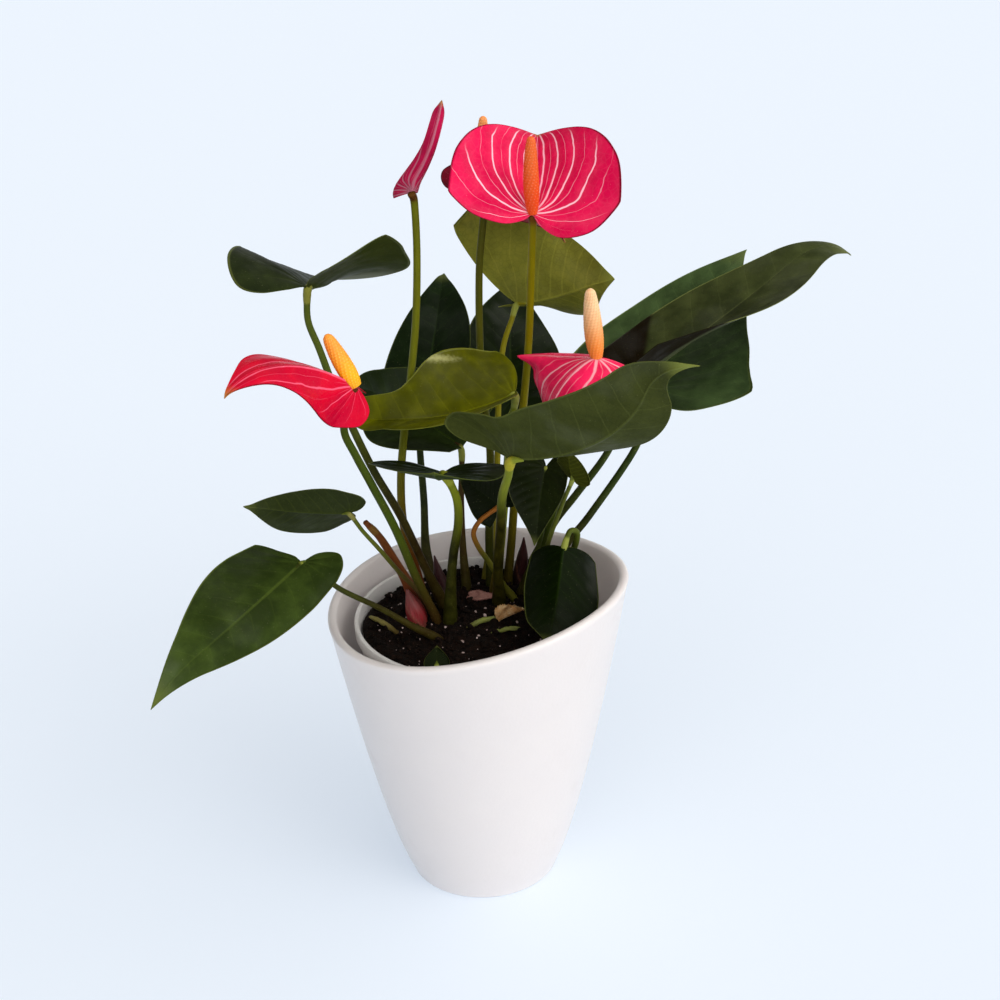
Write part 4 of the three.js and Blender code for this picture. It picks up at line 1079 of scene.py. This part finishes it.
def spadix_part(base, up, floret, number, rise, length, thick, inset=0.25):
    """A blunt spike set with florets in staggered rows that wind round it."""
    start = np.array(base) + up * inset
    way = unit(np.array(rise, float))
    bow = unit(np.cross(way, [0.3, 1, 0.1])) * 0.02 * length
    line = [start + way * length * t + bow * math.sin(2.2 * t) for t in np.linspace(0, 1, 9)]
    sizes = [s * thick for s in (0.62, 0.86, 0.97, 1, 0.97, 0.9, 0.8, 0.66, 0.44)]
    count = max(8, round(2 * math.pi * thick * 0.86 / floret))
    row_height, turn = 0.84 * floret, 0.21 + 0.01 * number

    def profile(radius, run, angle, total):
        near_tip = np.clip((run - total + 0.55 * thick) / (0.56 * thick), 0, 1)
        radius = radius * np.sqrt(np.clip(1 - near_tip**2, 0.02, 1))
        row = run / row_height
        low = np.floor(row)
        best = np.full(np.broadcast(row, angle).shape, 9.0)
        for r in (low, low + 1):
            q = angle / (2 * math.pi) * count + 0.5 * np.mod(r, 2) + turn * r
            best = np.minimum(best, np.hypot(q - np.round(q), 0.86 * (row - r)))
        top = np.clip(1 - (best / 0.56) ** 2, 0, 1)
        return radius + 0.24 * floret / 1.6 * (top - 0.4) * ease(radius, 0.3, 1.2), top

    return tube_part(line, sizes, 0.26, 80, profile)


def crumbs(rng, heights, radius, count, sizes, dents, material):
    """Many small lumps as one part, lying on the soil."""
    bm = bmesh.new()
    bmesh.ops.create_icosphere(bm, subdivisions=2, radius=1)
    ball = np.array([v.co for v in bm.verts])
    tri = np.array([[v.index for v in f.verts] for f in bm.faces])
    bm.free()
    points = []
    for n in range(count):
        a, r = rng.uniform(0, 2 * math.pi), radius * math.sqrt(rng.uniform(0, 1))
        size = sizes[0] + (sizes[1] - sizes[0]) * rng.uniform(0, 1) ** 2.2
        x, y = r * math.cos(a), r * math.sin(a)
        waves = np.sin(ball @ rng.normal(0, 2.4, (3, 3)) + rng.uniform(0, 6, 3))
        lump = ball * (1 + dents * waves.sum(-1, keepdims=True)) * size * rng.uniform(0.6, 1.2, 3)
        turn = Matrix.Rotation(rng.uniform(0, 6.3), 3, Vector(rng.normal(0, 1, 3)))
        points.append(lump @ np.array(turn) + [x, y, heights(x, y) + 0.35 * size])
    faces = np.vstack([tri + len(ball) * n for n in range(count)])
    points = np.vstack(points)
    corners = points[faces.ravel()]
    data = {"pattern": 0 * corners, "lay": corners / 10, "part": 0 * corners}
    return {"points": points, "faces": faces.tolist(), "material": material, **data}


# Shapes of the pots

# Nursery pot: rounding of its foot, gap to the cover pot there, wall and floor
INNER_FOOT_EDGE, INNER_GAP, INNER_WALL, INNER_FLOOR = 1.5, 0.45, 1.3, 1.6
# Cover pot: height of the rounded edge of its foot, and of the lip
OUTER_FOOT_EDGE, OUTER_LIP = 2.4, 2.0
# Underside of the cover pot from the middle out: how far inside the foot's edge, and how high
RING_FOOT = ((4.4, 0.5), (3.8, 0.1), (3.2, 0), (1.6, 0))


def pot_radius(pot, z):
    foot, rim, height = pot.foot_radius / MM, pot.rim_radius / MM, pot.rim_height / MM
    return foot + (rim - foot) * np.maximum(z / height, 0) ** 0.73


def rim_at(pot, a):
    """Height of the slanted rim: up to the right, a little down to the back, with a wave round it twice."""
    return pot.rim_height / MM + pot.rim_rise / MM * np.cos(a) - 3.1 * np.sin(a) - 3 * np.sin(2 * a)


def inner_foot(pot):
    """Radius of the nursery pot's foot, a little less than that of the cover pot round it."""
    return pot_radius(pot, pot.inner_base / MM + INNER_FOOT_EDGE) - pot.wall / MM - INNER_GAP


def inner_radius(pot, z):
    base, top = pot.inner_base / MM, pot.inner_height / MM
    return inner_foot(pot) + (pot.inner_radius / MM - inner_foot(pot)) * (z - base) / (top - base)


def fixed(radius, height):
    return lambda a: (radius + 0 * a, height)


def arc(first, last, steps):
    return [math.radians(first + (last - first) * i / steps) for i in range(steps + 1)]


def rounded(first, last, steps, middle, reach):
    """Rings round part of an oval: the radius and height of its middle, and its reach both ways."""
    (r, z), (wide, high) = middle, reach
    return [fixed(r + wide * math.cos(a), z + high * math.sin(a)) for a in arc(first, last, steps)]


# Radius of a stem at the soil and how much thinner it gets, the joint and the end under the rib, a flower's
# stalk under the spathe, and the mesh of both
STEM_RADIUS, THINNER, JOINT_RADIUS, END_RADIUS = 2.2, 0.7, 1.6, 0.55
LEAF_TOP, STALK_TOP, STALK_THINNER = 1.7, 1.9, 0.5
STEM_STEP, STEM_SIDES = 1.5, 16
# Length above which a leaf is large and below which it is small, and the scale of stem and relief then
LARGE, SMALL, MIDDLING_SCALE, SMALL_SCALE = 80, 50, 0.85, 0.62


class FLAMINGO_OT_leaves(Operator):
    """Build the leaves, each with its stem from the soil to the joint under the blade"""

    bl_idname = "flamingo.leaves"
    bl_label = "Leaves"

    def execute(self, context):
        plant = context.scene.flamingo_plant
        for n, (name, blade) in enumerate(LEAVES.items()):
            slot, upper, under, vein, stem, show = LEAF_LOOKS[name]
            length = blade["length"]
            size = 1 if length > LARGE else SMALL_SCALE if length < SMALL else MIDDLING_SCALE
            stout = size * STOUT.get(name, 1)
            line, along, up = stem_line(blade, LEAF_TOP * size, 0.25)
            under_rib = np.array(blade["base"]) + along * 6 * size - up * 0.7
            line.append(under_rib.tolist())
            ways = [min(1, 1.4 * i / len(line)) for i in range(len(line) - 2)]
            radii = [(STEM_RADIUS - THINNER * way) * stout for way in ways]
            radii += [JOINT_RADIUS * stout, END_RADIUS * size]
            step = plant.step / MM * (1 if size == 1 else 0.75)
            thick, wave, outline = plant.blade / MM, plant.wave / MM * size, blade.get("outline", HEART)
            plate = blade_part(blade, outline, leaf_veins, step, thick, wave, plant.seed + n, 0.75 * size)
            label, gloss = name.replace("_", " "), plant.gloss * GLOSSY.get(name, 1)
            # Painted shade at the base, a painted highlight streak, a painted sheen on the far part, and the
            # pale beak
            extras = SHADED_BASES.get(name), GLINTS.get(name), FAR_SHEENS.get(name), BEAKS.get(name, 0.2)
            skin = leaf_finish("leaf " + label, upper, under, vein, show, gloss, *extras)
            foot, joint, low, high = STEMS.get(name, USUAL_STEM)
            green = stalk_finish("stem " + label, foot, stem, joint, low, high)
            petiole = tube_part(line, radii, STEM_STEP, STEM_SIDES, petiole_shape(size))
            build("leaf_" + name, [plate, petiole], [skin, green])
        return {"FINISHED"}


class FLAMINGO_OT_flowers(Operator):
    """Build the flowers: stalk, spathe and spadix"""

    bl_idname = "flamingo.flowers"
    bl_label = "Flowers"

    def execute(self, context):
        plant = context.scene.flamingo_plant
        step, thick, wave = 0.8 * plant.step / MM, plant.spathe / MM, plant.wave / MM * 0.7
        for n, (name, flower) in enumerate(FLOWERS.items()):
            red, vein, margin, foot, top, low, high, spike = FLOWER_LOOKS[name]
            label, outline = name.replace("_", " "), flower.get("outline", BROAD_HEART)
            line, _, up = stem_line(flower, STALK_TOP, 0.5)
            radii = [STEM_RADIUS - STALK_THINNER * min(1, 1.4 * i / len(line)) for i in range(len(line))]
            part = tube_part(line, radii, STEM_STEP, STEM_SIDES, stalk_shape)
            skin = stalk_finish("stalk " + label, foot, top, "#5a2010")
            build("stalk_" + name, [part], [skin])
            part = blade_part(flower, outline, spathe_veins, step, thick, wave, plant.seed + 40 + n, 0.35)
            skin = spathe_finish("spathe " + label, red, vein, margin)
            build("spathe_" + name, [part], [skin])
            part = spadix_part(flower["base"], up, plant.floret / MM, n, **flower["spadix"])
            skin = spadix_finish("spadix " + label, low, high)
            build("spadix_" + name, [part], [skin])
        return {"FINISHED"}


class FLAMINGO_OT_sheaths(Operator):
    """Build the bare red stalk and the red sheaths at the foot of the stems"""

    bl_idname = "flamingo.sheaths"
    bl_label = "Bare stalk and sheaths"

    def execute(self, context):
        for name, rod in RODS.items():
            x, y, z = rod["path"][0]
            line, radii = [[x, y, z - 7], *rod["path"]], [rod["radii"][0], *rod["radii"]]
            bare = name == "stalk_red"
            detail = (1.3, 16, petiole_shape(0.7)) if bare else (0.7, 36, sheath_shape)
            skin = (stalk_finish if bare else scale_finish)(name, *rod["look"])
            build(name, [tube_part(line, radii, *detail)], [skin])
        return {"FINISHED"}


class FLAMINGO_OT_roots(Operator):
    """Build the green roots that arch out of the soil"""

    bl_idname = "flamingo.roots"
    bl_label = "Roots"

    def execute(self, context):
        for name, root in ROOTS.items():
            part = tube_part(root["path"], root["radii"], 0.6, 16, root_shape)
            build(name, [part], [stalk_finish(name, *root["look"])])
        return {"FINISHED"}


class FLAMINGO_OT_scraps(Operator):
    """Build the curled dry leaf and the dry bract on the soil"""

    bl_idname = "flamingo.scraps"
    bl_label = "Dry scraps"

    def execute(self, context):
        for n, (name, scrap) in enumerate(SCRAPS.items()):
            plate = blade_part(scrap, HEART, leaf_veins, 0.35, 0.6, 0.7, 90 + n, crumple=scrap["crumple"])
            build(name, [plate], [dry_finish(name, *scrap["look"])])
        return {"FINISHED"}


class FLAMINGO_OT_soil(Operator):
    """Build the potting soil with its crumbs and perlite"""

    bl_idname = "flamingo.soil"
    bl_label = "Potting soil"

    def execute(self, context):
        pot, plant = context.scene.flamingo_pot, context.scene.flamingo_plant
        level, base = pot.soil_top / MM, pot.inner_base / MM + 1.9
        rim = inner_radius(pot, level - 3) - 2.1

        def height(x, y):
            """A low mound with waves and clods, that dips at the pot's wall."""
            r, a = math.hypot(x, y), math.atan2(y, x)
            wave = 0.7 * math.sin(r * 0.31 + 3 * a) + 0.5 * math.sin(r * 0.53 - 5 * a + 1)
            wave += 0.4 * math.sin(r * 0.9 + 2 * a)
            lumps = noise.fractal(Vector((x, y, 3)) / 3.2, 0.9, 2.1, 4)
            mound = 1.6 * (1 - (r / 52) ** 2)
            return level + wave * min(1, r / 12) + mound + 0.75 * lumps - 1.5 * max(0, r - rim + 4) / 4

        sides = 288

        def ring(r):
            turns = np.linspace(0, 2 * math.pi, sides, endpoint=False)
            z = np.array([height(r * math.cos(a), r * math.sin(a)) for a in turns])
            return lambda a: (r + 0 * a, z)

        foot = inner_radius(pot, base + 2.5) - 1.9
        rows = [fixed(0, base), fixed(inner_foot(pot) - 3.9, base), fixed(foot, base + 2.5)]
        rows += [ring(t * rim) for t in np.linspace(1, 0.01, 84)]
        rows.append(fixed(0, height(0, 0)))
        rng = np.random.default_rng(plant.seed)
        lumps = crumbs(rng, height, rim - 1.5, plant.crumbs, (0.45, 1.9), 0.09, 0)
        grains = crumbs(rng, height, rim - 2, plant.crumbs // 6, (0.3, 1.0), 0.08, 1)
        peat, perlite = (*pot.soil_colour, 1), (*pot.perlite_colour, 1)
        skins = [earth_finish("peat", peat), grain_finish("perlite", perlite)]
        build("potting_soil", [ring_part(rows, sides), lumps, grains], skins)
        return {"FINISHED"}


class FLAMINGO_OT_nursery_pot(Operator):
    """Build the thin nursery pot with its turned-out rim"""

    bl_idname = "flamingo.nursery_pot"
    bl_label = "Nursery pot"

    def execute(self, context):
        pot, edge = context.scene.flamingo_pot, INNER_FOOT_EDGE
        base, top, radius = pot.inner_base / MM, pot.inner_height / MM, pot.inner_radius / MM
        foot, wide = inner_foot(pot), radius + 0.7
        rows = [fixed(0, base), fixed(foot - 3, base)]
        rows += rounded(-90, 0, 4, (foot - edge, base + edge), (edge, edge))
        rows += [fixed(inner_radius(pot, z), z) for z in np.linspace(base + 4, top - 7, 14)]
        rows += [fixed(wide - 0.25, top - 6.2), fixed(wide, top - 5.6), fixed(wide, top - 0.8)]
        rows += rounded(20, 90, 4, (radius + 0.1, top - 0.6), (0.6, 0.6))
        rows += rounded(90, 180, 4, (radius - 0.8, top - 0.5), (0.5, 0.5))
        rows += [fixed(inner_radius(pot, z) - INNER_WALL, z) for z in np.linspace(top - 6, base + 3, 14)]
        rows += [fixed(foot - 3.4, base + INNER_FLOOR), fixed(0, base + INNER_FLOOR)]
        skin = plastic_finish("nursery pot", (*pot.inner_colour, 1), 0.42, 0.1, 0.45)
        build("nursery_pot", [ring_part(rows, 192)], [skin])
        return {"FINISHED"}


class FLAMINGO_OT_cover_pot(Operator):
    """Build the cover pot: a taper that widens to a slanted rim with a soft lip"""

    bl_idname = "flamingo.cover_pot"
    bl_label = "Cover pot"

    def execute(self, context):
        pot = context.scene.flamingo_pot
        foot, wall, floor, half = pot.foot_radius / MM, pot.wall / MM, pot.floor / MM, pot.wall / MM / 2

        def side(part, inset=0.0):
            """A ring at a part of the way from the edge of the foot to the lip."""

            def ring(a):
                z = OUTER_FOOT_EDGE + (rim_at(pot, a) - OUTER_FOOT_EDGE - OUTER_LIP) * part
                return pot_radius(pot, z) - inset, z

            return ring

        def lip(inward, down):
            return lambda a: (pot_radius(pot, rim_at(pot, a)) - inward, rim_at(pot, a) - down)

        rows = [fixed(0, RING_FOOT[0][1]), *(fixed(foot - inset, z) for inset, z in RING_FOOT)]
        rows += rounded(-65, 0, 5, (pot_radius(pot, OUTER_FOOT_EDGE) - 1.6, 1.8), (1.55, 1.8))
        rows += [side(t) for t in np.linspace(0.004, 0.985, 60)]
        rows += [lip(half - half * math.cos(a), 1.7 - 1.7 * math.sin(a)) for a in arc(10, 170, 10)]
        rows += [side(t, wall) for t in np.linspace(0.985, 0.02, 40) if t * (pot.rim_height / MM) > floor + 4]
        rows += rounded(-10, -90, 4, (pot_radius(pot, floor) - wall - 2, floor + 2), (1.9, 2))
        rows.append(fixed(0, floor))
        skin = plastic_finish("cover pot", (*pot.cover_colour, 1), 0.34, 0.25, 0.02)
        build("cover_pot", [ring_part(rows, 240)], [skin])
        return {"FINISHED"}


class FLAMINGO_OT_stage(Operator):
    """Set up the pale floor, the soft light and the camera"""

    bl_idname = "flamingo.stage"
    bl_label = "Studio"

    def execute(self, context):
        scene, studio = context.scene, context.scene.flamingo_studio
        mesh = bpy.data.meshes.new("floor")
        side = 25
        steps = np.linspace(-30, 30, side)
        starts = [i + side * j for j in range(side - 1) for i in range(side - 1)]
        tiles = [(i, i + 1, i + 1 + side, i + side) for i in starts]
        mesh.from_pydata([(x, y, 0) for y in steps for x in steps], [], tiles)
        floor = bpy.data.objects.new("floor", mesh)
        m = Finish("studio floor", emission_color=(*studio.floor_glow, 1), emission_strength=1.0)
        fine = m.noise(m.put("ShaderNodeTexCoord").outputs["Object"], 2.0, 2)
        m.colour = m.mix(m.step(fine, 0.3, 0.7, 0, 0.06), (*studio.floor_colour, 1), "#a9aeb3")
        mesh.materials.append(m.done(m.step(fine, 0.3, 0.7, 0.88, 0.96)))
        scene.collection.objects.link(floor)

        aim = Vector(studio.target)
        camera = bpy.data.objects.new("camera", bpy.data.cameras.new("camera"))
        camera.data.lens, camera.data.sensor_width, camera.data.clip_end = studio.lens, 36, 30
        away = Vector((0, -math.cos(studio.tilt), math.sin(studio.tilt)))
        turn = Matrix.Rotation(math.pi / 2 - studio.tilt, 4, "X") @ Matrix.Rotation(studio.roll, 4, "Z")
        camera.matrix_world = Matrix.Translation(aim + away * studio.reach) @ turn
        scene.collection.objects.link(camera)
        scene.camera = camera

        for name, direction, width, power, hue in LAMPS:
            lamp = bpy.data.objects.new(name, bpy.data.lights.new(name, "SUN"))
            lamp.data.angle = math.radians(width)
            lamp.data.energy, lamp.data.color = power * studio.lamps, tint(hue)[:3]
            lamp.location = aim + Vector(direction) * 2
            lamp.rotation_euler = Vector(direction).to_track_quat("Z", "Y").to_euler()
            scene.collection.objects.link(lamp)

        scene.world = bpy.data.worlds.new("surround")
        scene.world.use_nodes = True
        nodes = Nodes(scene.world.node_tree)
        sky = nodes.tree.nodes["Background"]
        sky.inputs["Color"].default_value = (*studio.sky_colour, 1)
        sides = [nodes.put("ShaderNodeTexCoord").outputs["Generated"], BRIGHT_SIDE]
        bright = nodes.put("ShaderNodeVectorMath", sides, operation="DOT_PRODUCT").outputs["Value"]
        power = nodes.step(bright, -1, 1, 0.12 * studio.sky, 1.88 * studio.sky)
        nodes.tree.links.new(power, sky.inputs["Strength"])
        scene.view_settings.view_transform = "Standard"
        return {"FINISHED"}


class FLAMINGO_PT_panel(Panel):
    """Sizes, colours and the pieces, in the order they are built"""

    bl_label = "Flamingo flower"
    bl_idname = "FLAMINGO_PT_panel"
    bl_space_type = "VIEW_3D"
    bl_region_type = "UI"
    bl_category = "Flamingo flower"

    def draw(self, context):
        layout = self.layout
        for key in GROUPS:
            box = layout.box()
            settings = getattr(context.scene, key)
            box.label(text=type(settings).__doc__)
            for value in type(settings).__annotations__:
                box.prop(settings, value)
        for operator in OPERATORS:
            layout.operator(operator.bl_idname)


LAMPS = [
    ("key lamp", (0.62, -0.56, 0.62), 34, 0.6, "#fffdfa"),
    ("front lamp", (0.3, -0.82, 0.5), 100, 0.9, "#fffdfa"),
]
BRIGHT_SIDE = (0.8, -0.55, 0.25)
OPERATORS = (
    FLAMINGO_OT_leaves, FLAMINGO_OT_flowers, FLAMINGO_OT_sheaths, FLAMINGO_OT_roots, FLAMINGO_OT_scraps,
    FLAMINGO_OT_soil, FLAMINGO_OT_nursery_pot, FLAMINGO_OT_cover_pot, FLAMINGO_OT_stage,
)
GROUPS = {
    "flamingo_pot": FlamingoPotSizes, "flamingo_plant": FlamingoPlantSizes, "flamingo_studio": FlamingoStudio,
}


def register():
    for item in (*GROUPS.values(), *OPERATORS, FLAMINGO_PT_panel):
        bpy.utils.register_class(item)
    for key, group in GROUPS.items():
        setattr(bpy.types.Scene, key, PointerProperty(type=group))


def unregister():
    for key in GROUPS:
        delattr(bpy.types.Scene, key)
    for item in reversed((*GROUPS.values(), *OPERATORS, FLAMINGO_PT_panel)):
        bpy.utils.unregister_class(item)


def main():
    register()
    bpy.ops.flamingo.leaves()
    bpy.ops.flamingo.flowers()
    bpy.ops.flamingo.sheaths()
    bpy.ops.flamingo.roots()
    bpy.ops.flamingo.scraps()
    bpy.ops.flamingo.soil()
    bpy.ops.flamingo.nursery_pot()
    bpy.ops.flamingo.cover_pot()
    bpy.ops.flamingo.stage()


if __name__ == "__main__":
    main()
